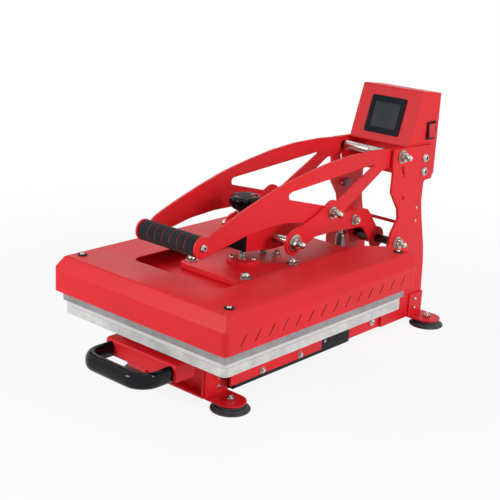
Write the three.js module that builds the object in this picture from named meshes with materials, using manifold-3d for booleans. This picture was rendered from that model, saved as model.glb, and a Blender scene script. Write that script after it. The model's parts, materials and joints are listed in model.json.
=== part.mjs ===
// Slide-out heat press with a toggle lever, a floating heating head and a drawer platen.
// Millimetres. X runs to the right, Y from the front to the rear, Z up from the table.
// Until the last lines, Y is measured from the front edge of the pressing area.
import * as THREE from "three";
import { mergeVertices } from "three/addons/utils/BufferGeometryUtils.js";
import Module from "manifold-3d";

const wasm = await Module();
wasm.setup();

// Fits, cuts and facets
const fit = 0.3;
const overrun = 5;
const mergeDistance = 0.0001;
const arcStep = Math.PI / 8;
const roundSides = 20;
const smallSides = 12;
const hexSides = 6;
const right = 1;
const left = -1;

// Pressing area, lower platen, pad and heating platen
const pressWidth = 400;
const pressDepth = 500;
const lowerPlatenMargin = 3.5;
const lowerPlatenCorner = 12;
const heatingMargin = 6;
const heatingCorner = 4;
const lowerPlatenHeight = 122;
const lowerPlatenThickness = 16;
const padThickness = 8;
const heatingThickness = 16;

// Insulation, tray and backing plate inside the cover
const insulationInset = 12;
const insulationThickness = 38;
const trayThickness = 2;
const backingWidth = 176;
const backingDepth = 182;
const backingThickness = 13;
const backingCorner = 14;
const backingBoltSpreadX = 130;
const backingBoltSpreadY = 133;
const backingBoltRadius = 10;
const backingBoltHeight = 7;
const backingWasherRadius = 13;
const backingWasherThickness = 1.6;

// Cover
const coverSideOverhang = 16;
const coverFrontOverhang = 18.5;
const coverRearOverhang = 26;
const coverWall = 2;
const coverLift = 3;
const coverSideHeight = 41;
const coverChamferHeight = 25.5;
const coverChamferDepth = 15;
const coverCorner = 9;
const coverEdgeRound = 5;
const openingWidth = 220;
const openingFrontY = 75;
const openingFrontCorner = 20;
const openingFlare = 46;
const openingFlareBend = 30;
const ventCount = 14;
const ventFrontY = 17;
const ventRearMargin = 54;
const ventWidth = 2.4;
const ventHeight = 19;
const ventSlant = 13;
const ventRise = 11;

// Pressure screw
const screwSetback = 7;
const screwRadius = 6;
const flangeRadius = 28.5;
const flangeThickness = 5;
const flangeHubRadius = 14;
const flangeHubHeight = 8;
const bushRadius = 13;
const bushCollarRadius = 18;
const bushCollarHeight = 4;
const bushDrop = 40;
const knobHubRadius = 13;
const knobHubLength = 20;
const knobClearance = 6;
const knobRadius = 30;
const knobHeadHeight = 33;
const knobUndercut = 8;
const knobDome = 8;
const knobFluteRadius = 4;
const knobFluteCount = 14;
const knobBoreDepth = 36;

// Pivots, as seen from the right side
const hingeSetback = 154;
const hingeZ = 197;
const topPivotAdvance = 10;
const topPivotRise = 187;
const toggleSlope = THREE.MathUtils.degToRad(20.18);
const armReach = 236.5;
const liftSetback = 55;
const springSeatAdvance = 88;
const springSeatRise = 55;
const gripReach = 574;
const gripDrop = 86;

// Press beam
const beamWidth = 60;
const beamWall = 4;
const beamNose = 25;
const beamHeight = 94;
const beamBend = 14;
const beamEyeRadius = 24;
const beamCapThickness = 3;
const beamCapPlug = 8;

// Shafts and their fastenings
const hingeShaftRadius = 8;
const hingeCollarRadius = 12;
const topShaftRadius = 8;
const liftShaftRadius = 8.5;
const springShaftRadius = 5;
const linkPinRadius = 6;
const washerThickness = 2;
const washerMargin = 6;
const nutMargin = 4;
const nutHeight = 8;
const boltDomeHeight = 5;

// Arms, links and grip
const armInset = 69;
const armThickness = 5;
const armBend = 30;
const armEyeRadius = 18;
const armLinkEyeRadius = 20;
const armGripEyeRadius = 19.5;
const linkThickness = 5;
const linkEndRadius = 24.5;
const linkWaistRadius = 20;
const gripRodRadius = 6;
const gripHeadRadius = 8;
const gripHeadHeight = 4;
const foamRadius = 19;

// Posts
const postThickness = 5;
const postNose = 31;
const postCrown = 18;
const postDepth = 158;
const postBend = 10;
const postHoleRadius = 4;

// Base
const baseFrontY = 82;
const baseBottom = 15;
const baseWidth = 152;
const baseHeight = 55;
const railWall = 4;
const railFlange = 18;
const crossWall = 4;
const crossFlange = 24;
const braceHeight = 52;
const braceDepth = 22;
const braceWall = 3;
const braceSetback = 66;
const braceRise = 26;

// Feet and their brackets
const footSpread = 229;
const footFrontY = 114;
const footRearSetback = 96;
const footRadius = 37;
const footHeight = 13.7;
const footRim = 3;
const footNeckRadius = 20;
const footHollow = 3;
const studRadius = 4;
const studNutRadius = 8;
const studNutHeight = 6;
const studTip = 4;
const bracketWall = 3;
const bracketRadius = 29;
const bracketHeight = 52;

// Drawer slides
const slideHeight = 46;
const slideLength = 344;
const slideFrontGap = 1.5;
const slideBottom = 20;
const slideWall = 1.5;
const slideOuterWall = 3;
const slideDepth = 15;

// Drawer
const drawerPlateWall = 4;
const drawerPlateSpread = 200;
const drawerPlateFrontY = 129;
const drawerPlateLength = 263;
const drawerPlateBottom = 33;
const drawerPlateFlange = 20;
const drawerFrontWidth = 178;
const drawerFrontHeight = 47;
const drawerFrontDepth = 45;
const drawerFrontWall = 3;
const drawerFrontRound = 6;
const drawerFrontDrop = 16;
const pullSpread = 152;
const pullReach = 70;
const pullBend = 35;
const pullHeight = 24;
const pullThickness = 14;
const pullDrop = 36;
const pullSides = 8;
const pullSteps = 28;

// Gas spring
const springFootAdvance = 94;
const springFootZ = 42;
const springEyeRadius = 9;
const springSeatPlay = 3.9;
const springSeatEyeRadius = 12.5;
const springEyeWidth = 8;
const springPinRadius = 4;
const springTubeRadius = 10;
const springTubeStart = 14;
const springTubeLength = 160;
const springRodRadius = 4;
const springRodOverlap = 92;
const springEarWall = 4;
const springEarMargin = 9;
const anchorDepth = 34;
const anchorHeight = 10;

// Control box
const boxWidth = 150.8;
const boxFaceAdvance = 28;
const boxFaceRise = 11;
const boxFaceLength = 122.4;
const boxTilt = THREE.MathUtils.degToRad(18.6);
const boxDepth = 69;
const boxTopDrop = 8;
const boxSkirtSetback = 52;
const boxSkirtBottom = 328;
const boxRound = 4;
const bezelWidth = 86;
const bezelHeight = 80;
const bezelThickness = 3;
const bezelCorner = 4;
const bezelRise = 60;
const glassWidth = 64;
const glassHeight = 54;
const glassSink = 1;
const switchFrameWidth = 32;
const switchFrameHeight = 38;
const switchFrameThickness = 2;
const switchMargin = 4;
const switchSetback = 80;
const switchRise = 31;
const switchPocketDepth = 12;
const rockerTilt = THREE.MathUtils.degToRad(7);
const rockerProud = 1.5;
const rockerDepth = 8;
const inletWidth = 48;
const inletHeight = 28;
const inletThickness = 3;
const inletRecess = 2;
const inletMargin = 9;
const inletHeightOverSkirt = 28;

// Outlines, as shares of the sizes that they follow and of a named bend in the third place.
// An arm: forwards from the top pivot over the grip's reach, and up from the grip over its drop.
const armOutlineShares = [
  [1.0, -0.225, 0],
  [0.873, -0.07, 3],
  [0.801, 0.023, 3],
  [0.69, 0.07, 3],
  [0.611, 0.058, 2],
  [0.477, -0.081, 1],
  [0.365, -0.172, 1],
  [0.303, 0.004, 1],
  [0.095, 0.746, 0],
  [0.0, 0.805, 0],
  [0.0, 1.2, 0],
  [0.145, 1.256, 5],
  [0.28, 1.256, 5],
  [0.409, 1.186, 5],
  [0.533, 1.058, 5],
  [0.65, 0.907, 5],
  [0.761, 0.698, 5],
  [0.868, 0.465, 5],
  [0.92, 0.337, 2],
  [0.97, 0.198, 1],
];
const armWindowShares = [
  [0.678, 0.69, 0.25],
  [0.132, 0.94, 0.08],
  [0.377, 0.15, 0.35],
  [0.446, 0.277, 0.6],
];
// The press beam: forwards from the main hinge over its reach, and up over its height.
const beamOutlineShares = [
  [1, 1, 0],
  [0.2915, 0.819, 1],
  [0.0995, 0.755, 1],
  [-0.0592, -0.106, 0],
  [0.0166, -0.213, 0],
  [0.135, 0.37, 1],
  [0.391, 0.447, 1],
  [0.822, 0.457, 1],
  [1, 0.55, 0],
];
// A post: backwards from its front edge over its depth, and up from its foot over its height.
const postOutlineShares = [
  [0, 1, 0.9],
  [0.965, 0.985, 1.4],
  [0.965, 0.791, 0.6],
  [0.772, 0.791, 0.8],
  [0.766, 0.68, 3],
  [0.804, 0.597, 4],
  [0.93, 0.403, 6],
  [0.968, 0.302, 4],
  [1, 0, 0],
  [0.057, 0, 0],
  [0.057, 0.4625, 2],
  [0.1076, 0.5375, 2],
  [0.2405, 0.607, 1],
  [0.209, 0.664, 1],
  [0.0253, 0.765, 1],
  [0.0316, 0.863, 2],
  [0, 0.917, 2],
];
const postSlotShares = [
  [0.234, 0.889],
  [0.272, 0.845],
];
const postHoleShare = [0.304, 0.721];

// Heights and places that follow from the sizes above
const half = (size) => size / 2;
const padBottom = lowerPlatenHeight + lowerPlatenThickness + fit;
const padTop = padBottom + padThickness;
const heatingBottom = padTop + fit;
const heatingTop = heatingBottom + heatingThickness;
const insulationBottom = heatingTop + fit;
const insulationTop = insulationBottom + insulationThickness;
const trayBottom = insulationTop + fit;
const trayTop = trayBottom + trayThickness;
const backingBottom = trayTop + fit;
const backingTop = backingBottom + backingThickness;
const flangeTop = backingTop + flangeThickness;
const coverBottom = heatingTop + coverLift;
const coverEdge = coverBottom + coverSideHeight;
const coverTop = coverEdge + coverChamferHeight;
const coverHalfWidth = half(pressWidth) + coverSideOverhang;
const coverRearY = pressDepth + coverRearOverhang;

const hingeY = pressDepth + hingeSetback;
const screwY = half(pressDepth) + screwSetback;
const footRearY = hingeY + footRearSetback;
const springFootY = hingeY - springFootAdvance;
const boxSkirtFrontY = hingeY + boxSkirtSetback;
const beamReach = hingeY - screwY + beamNose;
const hinge = [hingeY, hingeZ];
const topPivot = [hingeY - topPivotAdvance, hingeZ + topPivotRise];
const alongToggle = (reach) => [
  topPivot[0] - reach * Math.cos(toggleSlope),
  topPivot[1] - reach * Math.sin(toggleSlope),
];
const kneePivot = alongToggle(armReach);
const liftPivot = alongToggle((topPivot[0] - screwY - liftSetback) / Math.cos(toggleSlope));
const springSeat = [hingeY - springSeatAdvance, hingeZ + springSeatRise];
const springFoot = [springFootY, springFootZ];
const gripAxis = [topPivot[0] - gripReach, topPivot[1] - gripDrop];

const baseBack = topPivot[0] - postNose + postDepth;
const baseTop = baseBottom + baseHeight;
const baseSide = half(baseWidth);
const postInner = baseSide + fit;
const postOuter = postInner + postThickness;
const armOuter = armInset + armThickness;
const linkInner = armOuter + fit;
const linkOuter = linkInner + linkThickness;
const footX = half(footSpread);
const bracketBottom = footHeight + fit;

// Geometry helpers
const axisX = new THREE.Vector3(1, 0, 0);
const axisY = new THREE.Vector3(0, 1, 0);
const axisZ = new THREE.Vector3(0, 0, 1);
const extrudeFrames = {
  x: new THREE.Matrix4().makeBasis(axisY, axisZ, axisX),
  y: new THREE.Matrix4().makeBasis(axisX, axisZ, axisY.clone().negate()),
  z: new THREE.Matrix4(),
};
const turnFrames = {
  x: new THREE.Matrix4().makeBasis(axisY.clone().negate(), axisX, axisZ),
  y: new THREE.Matrix4(),
  z: new THREE.Matrix4().makeBasis(axisX, axisZ, axisY.clone().negate()),
};

// A closed three.js geometry as a solid, turned outside out where its profile ran the other way.
function solidFrom(geometry) {
  const bare = new THREE.BufferGeometry();
  bare.setAttribute("position", geometry.getAttribute("position"));
  bare.setIndex(geometry.index);
  const merged = mergeVertices(bare, mergeDistance);
  const corners = merged.index.array;
  const kept = [];
  for (let i = 0; i < corners.length; i += 3) {
    const [a, b, c] = corners.slice(i, i + 3);
    if (a !== b && b !== c && c !== a) kept.push(a, b, c);
  }
  const vertProperties = merged.getAttribute("position").array;
  const make = (list) =>
    new wasm.Manifold(
      new wasm.Mesh({ numProp: 3, vertProperties, triVerts: new Uint32Array(list) }),
    );
  const solid = make(kept);
  return solid.volume() < 0 ? make(kept.reverse()) : solid;
}

function geometryFrom(solid) {
  const mesh = solid.getMesh();
  const indexed = new THREE.BufferGeometry();
  indexed.setAttribute("position", new THREE.BufferAttribute(mesh.vertProperties, 3));
  indexed.setIndex(new THREE.BufferAttribute(mesh.triVerts, 1));
  const geometry = indexed.toNonIndexed();
  geometry.computeVertexNormals();
  return geometry;
}

const join = (first, ...others) => others.reduce((sum, other) => sum.add(other), first);
const cut = (first, ...others) => others.reduce((rest, other) => rest.subtract(other), first);

// A closed outline of points [a, b, radius], whose corners are rounded by their radius.
function outline(points) {
  const path = [];
  points.forEach(([a, b, radius = 0], i) => {
    const corner = new THREE.Vector2(a, b);
    if (!radius) {
      path.push(corner);
      return;
    }
    const before = points[(i + points.length - 1) % points.length];
    const after = points[(i + 1) % points.length];
    const back = new THREE.Vector2(before[0] - a, before[1] - b);
    const ahead = new THREE.Vector2(after[0] - a, after[1] - b);
    const longest = Math.min(back.length(), ahead.length()) / 2;
    back.normalize();
    ahead.normalize();
    const halfAngle = Math.acos(THREE.MathUtils.clamp(back.dot(ahead), -1, 1)) / 2;
    const reach = Math.min(radius / Math.tan(halfAngle), longest);
    const bend = reach * Math.tan(halfAngle);
    const inward = back.clone().add(ahead).normalize();
    const centre = corner.clone().addScaledVector(inward, bend / Math.sin(halfAngle));
    const start = corner.clone().addScaledVector(back, reach).sub(centre);
    const end = corner.clone().addScaledVector(ahead, reach).sub(centre);
    const sweep = Math.atan2(start.cross(end), start.dot(end));
    const steps = Math.max(1, Math.ceil(Math.abs(sweep) / arcStep));
    for (let k = 0; k <= steps; k += 1) {
      const turned = start.clone().rotateAround(new THREE.Vector2(), (sweep * k) / steps);
      path.push(turned.add(centre));
    }
  });
  return new THREE.Shape(path);
}

// Shares of a width and a height from an origin, with radii as shares of a bend.
const scaled = (shares, [a, b], width, height, bend) =>
  shares.map(([u, v, r = 0]) => [a + u * width, b + v * height, r * bend]);

const rectangle = (a0, b0, a1, b1, radius = 0) =>
  outline([
    [a0, b0, radius],
    [a1, b0, radius],
    [a1, b1, radius],
    [a0, b1, radius],
  ]);

// A slot-shaped outline round two centres, drawn in to a waist halfway.
function slotShape([a0, b0], [a1, b1], radius, waist = radius) {
  const run = new THREE.Vector2(a1 - a0, b1 - b0);
  const angle = run.angle();
  const side = new THREE.Vector2(-run.y, run.x).normalize();
  const quarter = Math.PI / 2;
  const middle = new THREE.Vector2(a0 + a1, b0 + b1).divideScalar(2);
  const pull = 2 * waist - radius;
  const shape = new THREE.Shape();
  shape.absarc(a0, b0, radius, angle + quarter, angle - quarter, false);
  shape.quadraticCurveTo(
    middle.x - side.x * pull,
    middle.y - side.y * pull,
    a1 - side.x * radius,
    b1 - side.y * radius,
  );
  shape.absarc(a1, b1, radius, angle - quarter, angle + quarter, false);
  shape.quadraticCurveTo(
    middle.x + side.x * pull,
    middle.y + side.y * pull,
    a0 + side.x * radius,
    b0 + side.y * radius,
  );
  return new THREE.Shape(shape.getPoints(roundSides / 4));
}

// An outline drawn along an axis between two places on it.
function extruded(shape, along, from, to) {
  const geometry = new THREE.ExtrudeGeometry(shape, { depth: to - from, bevelEnabled: false });
  geometry.applyMatrix4(extrudeFrames[along]);
  const start = { x: [from, 0, 0], y: [0, to, 0], z: [0, 0, from] }[along];
  geometry.translate(...start);
  return solidFrom(geometry);
}

// The same for a piece on one side, given as distances outwards from the middle plane.
const sidePlate = (shape, side, inner, outer) =>
  side > 0 ? extruded(shape, "x", inner, outer) : extruded(shape, "x", -outer, -inner);

const box = ([x0, y0, z0], [x1, y1, z1]) => extruded(rectangle(x0, y0, x1, y1), "z", z0, z1);

// A profile of [radius, place along the axis] turned about an axis through a centre.
function turned(along, [x, y, z], profile, sides = roundSides) {
  const points = profile.map(([radius, place]) => new THREE.Vector2(radius, place));
  const geometry = new THREE.LatheGeometry(points, sides);
  geometry.applyMatrix4(turnFrames[along]);
  geometry.translate(x, y, z);
  return solidFrom(geometry);
}

const disc = (along, centre, radius, from, to, sides) =>
  turned(
    along,
    centre,
    [
      [0, from],
      [radius, from],
      [radius, to],
      [0, to],
    ],
    sides,
  );

// A cylinder across the press at a place seen from the side.
const across = ([y, z], radius, from, to, sides) => disc("x", [0, y, z], radius, from, to, sides);
const acrossSide = (place, side, radius, inner, outer, sides) =>
  side > 0
    ? across(place, radius, inner, outer, sides)
    : across(place, radius, -outer, -inner, sides);

// Washer and domed nut outside a plate, growing outwards from its face.
function fastening(place, side, shaftRadius, face) {
  const washerFace = face + washerThickness;
  const nutFace = washerFace + nutHeight;
  const boltEnd = nutFace + boltDomeHeight;
  return join(
    acrossSide(place, side, shaftRadius + washerMargin, face, washerFace),
    acrossSide(place, side, shaftRadius + nutMargin, washerFace, nutFace, hexSides),
    acrossSide(place, side, shaftRadius, nutFace, boltEnd, smallSides),
  );
}

// Materials
const paint = (color) => new THREE.MeshStandardMaterial({ color, roughness: 0.45, metalness: 0 });
const redPaint = paint(0xd92b32);
const blackPlastic = new THREE.MeshStandardMaterial({
  color: 0x26282d,
  roughness: 0.5,
  metalness: 0,
});
const rubber = new THREE.MeshStandardMaterial({ color: 0x2b2e33, roughness: 0.85, metalness: 0 });
const foam = new THREE.MeshStandardMaterial({ color: 0x1c1d20, roughness: 0.95, metalness: 0 });
const silicone = new THREE.MeshStandardMaterial({ color: 0xd8d8d4, roughness: 0.8, metalness: 0 });
const aluminium = new THREE.MeshStandardMaterial({ color: 0xb4b0b4, roughness: 0.4, metalness: 1 });
const steel = new THREE.MeshStandardMaterial({ color: 0xc9cbd0, roughness: 0.28, metalness: 1 });
const blackSteel = new THREE.MeshStandardMaterial({
  color: 0x2a2c31,
  roughness: 0.4,
  metalness: 0.6,
});
const wool = new THREE.MeshStandardMaterial({ color: 0xcfc8b4, roughness: 0.95, metalness: 0 });
const glass = new THREE.MeshStandardMaterial({ color: 0x101418, roughness: 0.1, metalness: 0 });
const redPlastic = new THREE.MeshStandardMaterial({ color: 0xc8202a, roughness: 0.3, metalness: 0 });

const group = new THREE.Group();
function add(name, solid, material) {
  const mesh = new THREE.Mesh(geometryFrom(solid), material);
  mesh.name = name;
  group.add(mesh);
}
const sides = { right, left };
const eachSide = (make) => Object.entries(sides).forEach(([word, side]) => make(word, side));

// Base

// A side rail is a channel that opens towards the middle.
function sideRail(side) {
  const inner = baseSide - railWall;
  const lip = baseSide - railFlange;
  const section = [
    [baseSide, baseBottom],
    [baseSide, baseTop],
    [lip, baseTop],
    [lip, baseTop - railWall],
    [inner, baseTop - railWall],
    [inner, baseBottom + railWall],
    [lip, baseBottom + railWall],
    [lip, baseBottom],
  ];
  const shape = outline(section.map(([x, z]) => [side * x, z]));
  return extruded(shape, "y", baseFrontY, baseBack);
}

// A cross member is a channel between the rails whose open side faces out at the base's end.
function crossMember(faceY, inwards) {
  const webX = baseSide - railWall - fit;
  const flangeX = baseSide - railFlange - fit;
  const webBack = faceY + inwards * crossFlange;
  const web = [webBack - inwards * crossWall, webBack].sort((a, b) => a - b);
  const reach = [faceY, webBack].sort((a, b) => a - b);
  const [low, high] = [baseBottom + railWall + fit, baseTop - railWall - fit];
  return join(
    box([-webX, web[0], low], [webX, web[1], high]),
    box([-flangeX, web[0], baseBottom], [flangeX, web[1], baseTop]),
    box([-flangeX, reach[0], baseBottom], [flangeX, reach[1], baseBottom + crossWall]),
    box([-flangeX, reach[0], baseTop - crossWall], [flangeX, reach[1], baseTop]),
  );
}

// A foot bracket is a bent plate: a flange on the base's side and a round tab over the foot.
function footBracket(side, footY, face) {
  const flangeInner = face + fit;
  const flangeOuter = flangeInner + bracketWall;
  const tabTop = bracketBottom + bracketWall;
  const flange = sidePlate(
    rectangle(
      footY - bracketRadius,
      bracketBottom,
      Math.min(footY + bracketRadius, baseBack),
      bracketBottom + bracketHeight,
    ),
    side,
    flangeInner,
    flangeOuter,
  );
  const tab = join(
    box(
      [Math.min(side * flangeInner, side * footX), footY - bracketRadius, bracketBottom],
      [Math.max(side * flangeInner, side * footX), footY + bracketRadius, tabTop],
    ),
    disc("z", [side * footX, footY, 0], bracketRadius, bracketBottom, tabTop),
  );
  const hole = disc(
    "z",
    [side * footX, footY, 0],
    studRadius + fit,
    bracketBottom - overrun,
    tabTop + overrun,
    smallSides,
  );
  return cut(join(flange, tab), hole);
}

// A suction foot with its moulded-in stud and the nut above the bracket.
function suctionFoot(side, footY) {
  const nutBottom = bracketBottom + bracketWall + fit;
  const nutTop = nutBottom + studNutHeight;
  const cup = turned("z", [side * footX, footY, 0], [
    [0, footHollow],
    [footRadius - footRim, 0],
    [footRadius, 0],
    [footRadius, footRim],
    [footNeckRadius, footHeight],
    [studRadius, footHeight],
    [studRadius, nutTop + studTip],
    [0, nutTop + studTip],
  ]);
  const nut = disc("z", [side * footX, footY, 0], studNutRadius, nutBottom, nutTop, hexSides);
  return join(cup, nut);
}

eachSide((word, side) => add(`${word}_side_rail`, sideRail(side), redPaint));
add("front_cross_member", crossMember(baseFrontY, 1), redPaint);
add("rear_cross_member", crossMember(baseBack, -1), redPaint);
const feet = [
  { word: "front", footY: footFrontY, face: baseSide },
  { word: "rear", footY: footRearY, face: postOuter },
];
feet.forEach(({ word, footY, face }) => {
  eachSide((sideWord, side) => {
    const bracket = footBracket(side, footY, face);
    add(`${word}_${sideWord}_foot_bracket`, bracket, redPaint);
    add(`${word}_${sideWord}_foot`, suctionFoot(side, footY), rubber);
  });
});

// Posts
const postFrontY = topPivot[0] - postNose;
const postHeight = topPivot[1] + postCrown - baseBottom;
const postOrigin = [postFrontY, baseBottom];
const onPost = (shares) => scaled(shares, postOrigin, postDepth, postHeight, postBend);

function post(side) {
  const reachIn = postInner - overrun;
  const reachOut = postOuter + overrun;
  const plate = sidePlate(outline(onPost(postOutlineShares)), side, postInner, postOuter);
  const [slotStart, slotEnd] = onPost(postSlotShares);
  const [hole] = onPost([postHoleShare]);
  return cut(
    plate,
    acrossSide(topPivot, side, topShaftRadius + fit, reachIn, reachOut),
    acrossSide(hinge, side, hingeShaftRadius + fit, reachIn, reachOut),
    acrossSide(hole, side, postHoleRadius, reachIn, reachOut, smallSides),
    sidePlate(slotShape(slotStart, slotEnd, postHoleRadius), side, reachIn, reachOut),
  );
}
eachSide((word, side) => add(`${word}_post`, post(side), redPaint));

// The brace is a channel between the posts that opens to the front.
const braceInner = [postFrontY + braceSetback, hingeZ + braceRise];
const brace = cut(
  box(
    [-baseSide, braceInner[0], braceInner[1]],
    [baseSide, braceInner[0] + braceDepth, braceInner[1] + braceHeight],
  ),
  box(
    [braceWall - baseSide, braceInner[0] - overrun, braceInner[1] - overrun],
    [
      baseSide - braceWall,
      braceInner[0] + braceDepth - braceWall,
      braceInner[1] + braceHeight + overrun,
    ],
  ),
);
add("post_brace", brace, redPaint);

// A shaft through both posts, with a washer and nut outside each.
function postShaft(place, radius, collarRadius, collarInner, collarOuter) {
  const outside = postOuter + fit;
  const core = across(place, radius, -outside, outside);
  const ends = Object.values(sides).map((side) => fastening(place, side, radius, outside));
  const collars = Object.values(sides).map((side) =>
    acrossSide(place, side, collarRadius, collarInner, collarOuter),
  );
  return join(core, ...ends, ...collars);
}
const hingeShaft = postShaft(
  hinge,
  hingeShaftRadius,
  hingeCollarRadius,
  half(beamWidth) + fit,
  baseSide,
);
add("main_hinge_shaft", hingeShaft, blackSteel);
const topShaft = postShaft(
  topPivot,
  topShaftRadius,
  topShaftRadius + nutMargin,
  0,
  armInset - fit,
);
add("top_pivot_shaft", topShaft, steel);

// Control box between the heads of the posts
const faceFoot = [topPivot[0] + boxFaceAdvance, topPivot[1] + boxFaceRise];
const faceTop = [
  faceFoot[0] + boxFaceLength * Math.sin(boxTilt),
  faceFoot[1] + boxFaceLength * Math.cos(boxTilt),
];
const boxRearY = faceTop[0] + boxDepth;
const boxSide = half(boxWidth);
const switchCentre = [faceFoot[0] + switchSetback, faceFoot[1] + switchRise];
const pocketHalfWidth = half(switchFrameWidth) - switchMargin;
const pocketHalfHeight = half(switchFrameHeight) - switchMargin;
const around = ([a, b], halfA, halfB, radius) =>
  rectangle(a - halfA, b - halfB, a + halfA, b + halfB, radius);

const boxBody = sidePlate(
  outline([
    [...faceFoot, boxRound],
    [...faceTop, boxRound],
    [boxRearY, faceTop[1] - boxTopDrop, boxRound],
    [boxRearY, boxSkirtBottom, boxRound],
    [boxSkirtFrontY, boxSkirtBottom, boxRound],
    [boxSkirtFrontY, faceFoot[1], boxRound],
  ]),
  right,
  -boxSide,
  boxSide,
);
const switchPocket = extruded(
  around(switchCentre, pocketHalfWidth, pocketHalfHeight),
  "x",
  boxSide - switchPocketDepth,
  boxSide + overrun,
);
add("control_box", cut(boxBody, switchPocket), redPaint);

// Pieces on the sloping face are drawn flat, with their outline's height up the face.
const faceFrame = new THREE.Matrix4().makeBasis(
  axisX,
  new THREE.Vector3(0, Math.sin(boxTilt), Math.cos(boxTilt)),
  new THREE.Vector3(0, -Math.cos(boxTilt), Math.sin(boxTilt)),
);
function onFace(shape, from, to) {
  const geometry = new THREE.ExtrudeGeometry(shape, { depth: to - from, bevelEnabled: false });
  geometry.translate(0, 0, from);
  geometry.applyMatrix4(faceFrame);
  geometry.translate(0, ...faceFoot);
  return solidFrom(geometry);
}
const bezelTop = fit + bezelThickness;
const glassTop = bezelTop - glassSink;
const faceCentre = [0, bezelRise];
const bezel = cut(
  onFace(around(faceCentre, half(bezelWidth), half(bezelHeight), bezelCorner), fit, bezelTop),
  onFace(
    around(faceCentre, half(glassWidth) + fit, half(glassHeight) + fit),
    fit - overrun,
    bezelTop + overrun,
  ),
);
add("screen_bezel", bezel, blackPlastic);
const screen = onFace(around(faceCentre, half(glassWidth), half(glassHeight)), fit, glassTop);
add("screen_glass", screen, glass);

// Power switch on the right side of the box
const frameInner = boxSide + fit;
const frameOuter = frameInner + switchFrameThickness;
const switchFrame = cut(
  extruded(
    around(switchCentre, half(switchFrameWidth), half(switchFrameHeight)),
    "x",
    frameInner,
    frameOuter,
  ),
  extruded(
    around(switchCentre, pocketHalfWidth, pocketHalfHeight),
    "x",
    frameInner - overrun,
    frameOuter + overrun,
  ),
);
add("switch_frame", switchFrame, blackPlastic);

// The rocker's front is a shallow V, so that one half lies flush while the other stands out.
const rockerHalfWidth = pocketHalfWidth - fit - fit;
const rockerHalfHeight = pocketHalfHeight - fit - fit;
const rockerFront = frameOuter + rockerProud;
const rockerRise = rockerHalfHeight * Math.tan(rockerTilt);
const rockerSection = outline([
  [-rockerDepth, -rockerHalfHeight * Math.cos(rockerTilt) + rockerRise],
  [rockerRise, -rockerHalfHeight],
  [0, 0],
  [rockerRise, rockerHalfHeight],
  [-rockerDepth, rockerHalfHeight * Math.cos(rockerTilt) - rockerRise],
]);
function rocker() {
  const geometry = new THREE.ExtrudeGeometry(rockerSection, {
    depth: 2 * rockerHalfWidth,
    bevelEnabled: false,
  });
  geometry.translate(0, 0, -rockerHalfWidth);
  geometry.rotateZ(rockerTilt);
  geometry.applyMatrix4(extrudeFrames.y);
  geometry.translate(rockerFront, ...switchCentre);
  return solidFrom(geometry);
}
add("power_rocker", rocker(), redPlastic);

// Mains inlet on the back of the box
const inletCentre = [0, boxSkirtBottom + inletHeightOverSkirt];
const inletFront = boxRearY + fit;
const inletBack = inletFront + inletThickness;
const inlet = cut(
  extruded(
    around(inletCentre, half(inletWidth), half(inletHeight), inletRecess),
    "y",
    inletFront,
    inletBack,
  ),
  extruded(
    around(inletCentre, half(inletWidth) - inletMargin, half(inletHeight) - half(inletMargin)),
    "y",
    inletBack - inletRecess,
    inletBack + overrun,
  ),
);
add("power_inlet", inlet, blackPlastic);

// Drawer slides
const slideTop = slideBottom + slideHeight;
const slideFrontY = footFrontY + bracketRadius + slideFrontGap;
const slideRearY = slideFrontY + slideLength;

// A slide member is a channel from its web to its mouth; each nests in the one outside it.
// The outer web is as thick as a front foot bracket, so that the middle member runs past that.
function slideMember(side, webX, mouthX, nest) {
  const web = nest ? slideWall : slideOuterWall;
  const wall = Math.sign(mouthX - webX) * web;
  const bottom = slideBottom + nest * (slideWall + fit);
  const top = slideTop - nest * (slideWall + fit);
  const section = [
    [webX, bottom],
    [mouthX, bottom],
    [mouthX, bottom + slideWall],
    [webX + wall, bottom + slideWall],
    [webX + wall, top - slideWall],
    [mouthX, top - slideWall],
    [mouthX, top],
    [webX, top],
  ];
  const shape = outline(section.map(([x, z]) => [side * x, z]));
  return extruded(shape, "y", slideFrontY, slideRearY);
}
const slideWeb = baseSide + fit;
const slideMouth = slideWeb + slideDepth;
const middleWeb = slideWeb + slideOuterWall + fit;
const innerMouth = middleWeb + slideWall + fit;
const drawerSide = half(drawerPlateSpread);
const drawerFace = drawerSide - drawerPlateWall - fit;
eachSide((word, side) => {
  add(`${word}_slide_outer`, slideMember(side, slideWeb, slideMouth, 0), blackSteel);
  add(`${word}_slide_middle`, slideMember(side, middleWeb, slideMouth, 1), blackSteel);
  add(`${word}_slide_inner`, slideMember(side, drawerFace, innerMouth, 2), blackSteel);
});

// Drawer
const platenShape = (margin, corner) =>
  rectangle(
    -half(pressWidth) - margin,
    -margin,
    half(pressWidth) + margin,
    pressDepth + margin,
    corner,
  );
add(
  "lower_platen",
  extruded(
    platenShape(lowerPlatenMargin, lowerPlatenCorner),
    "z",
    lowerPlatenHeight,
    lowerPlatenHeight + lowerPlatenThickness,
  ),
  aluminium,
);
const padShape = platenShape(lowerPlatenMargin - fit, lowerPlatenCorner);
add("silicone_pad", extruded(padShape, "z", padBottom, padTop), silicone);

const hangerTop = lowerPlatenHeight - fit;
function drawerSidePlate(side) {
  const flangeX = drawerSide - drawerPlateFlange;
  const section = [
    [drawerSide, drawerPlateBottom],
    [drawerSide, hangerTop],
    [flangeX, hangerTop],
    [flangeX, hangerTop - drawerPlateWall],
    [drawerSide - drawerPlateWall, hangerTop - drawerPlateWall],
    [drawerSide - drawerPlateWall, drawerPlateBottom],
  ];
  const shape = outline(section.map(([x, z]) => [side * x, z]));
  return extruded(shape, "y", drawerPlateFrontY, drawerPlateFrontY + drawerPlateLength);
}
eachSide((word, side) => add(`${word}_drawer_plate`, drawerSidePlate(side), redPaint));

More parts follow.
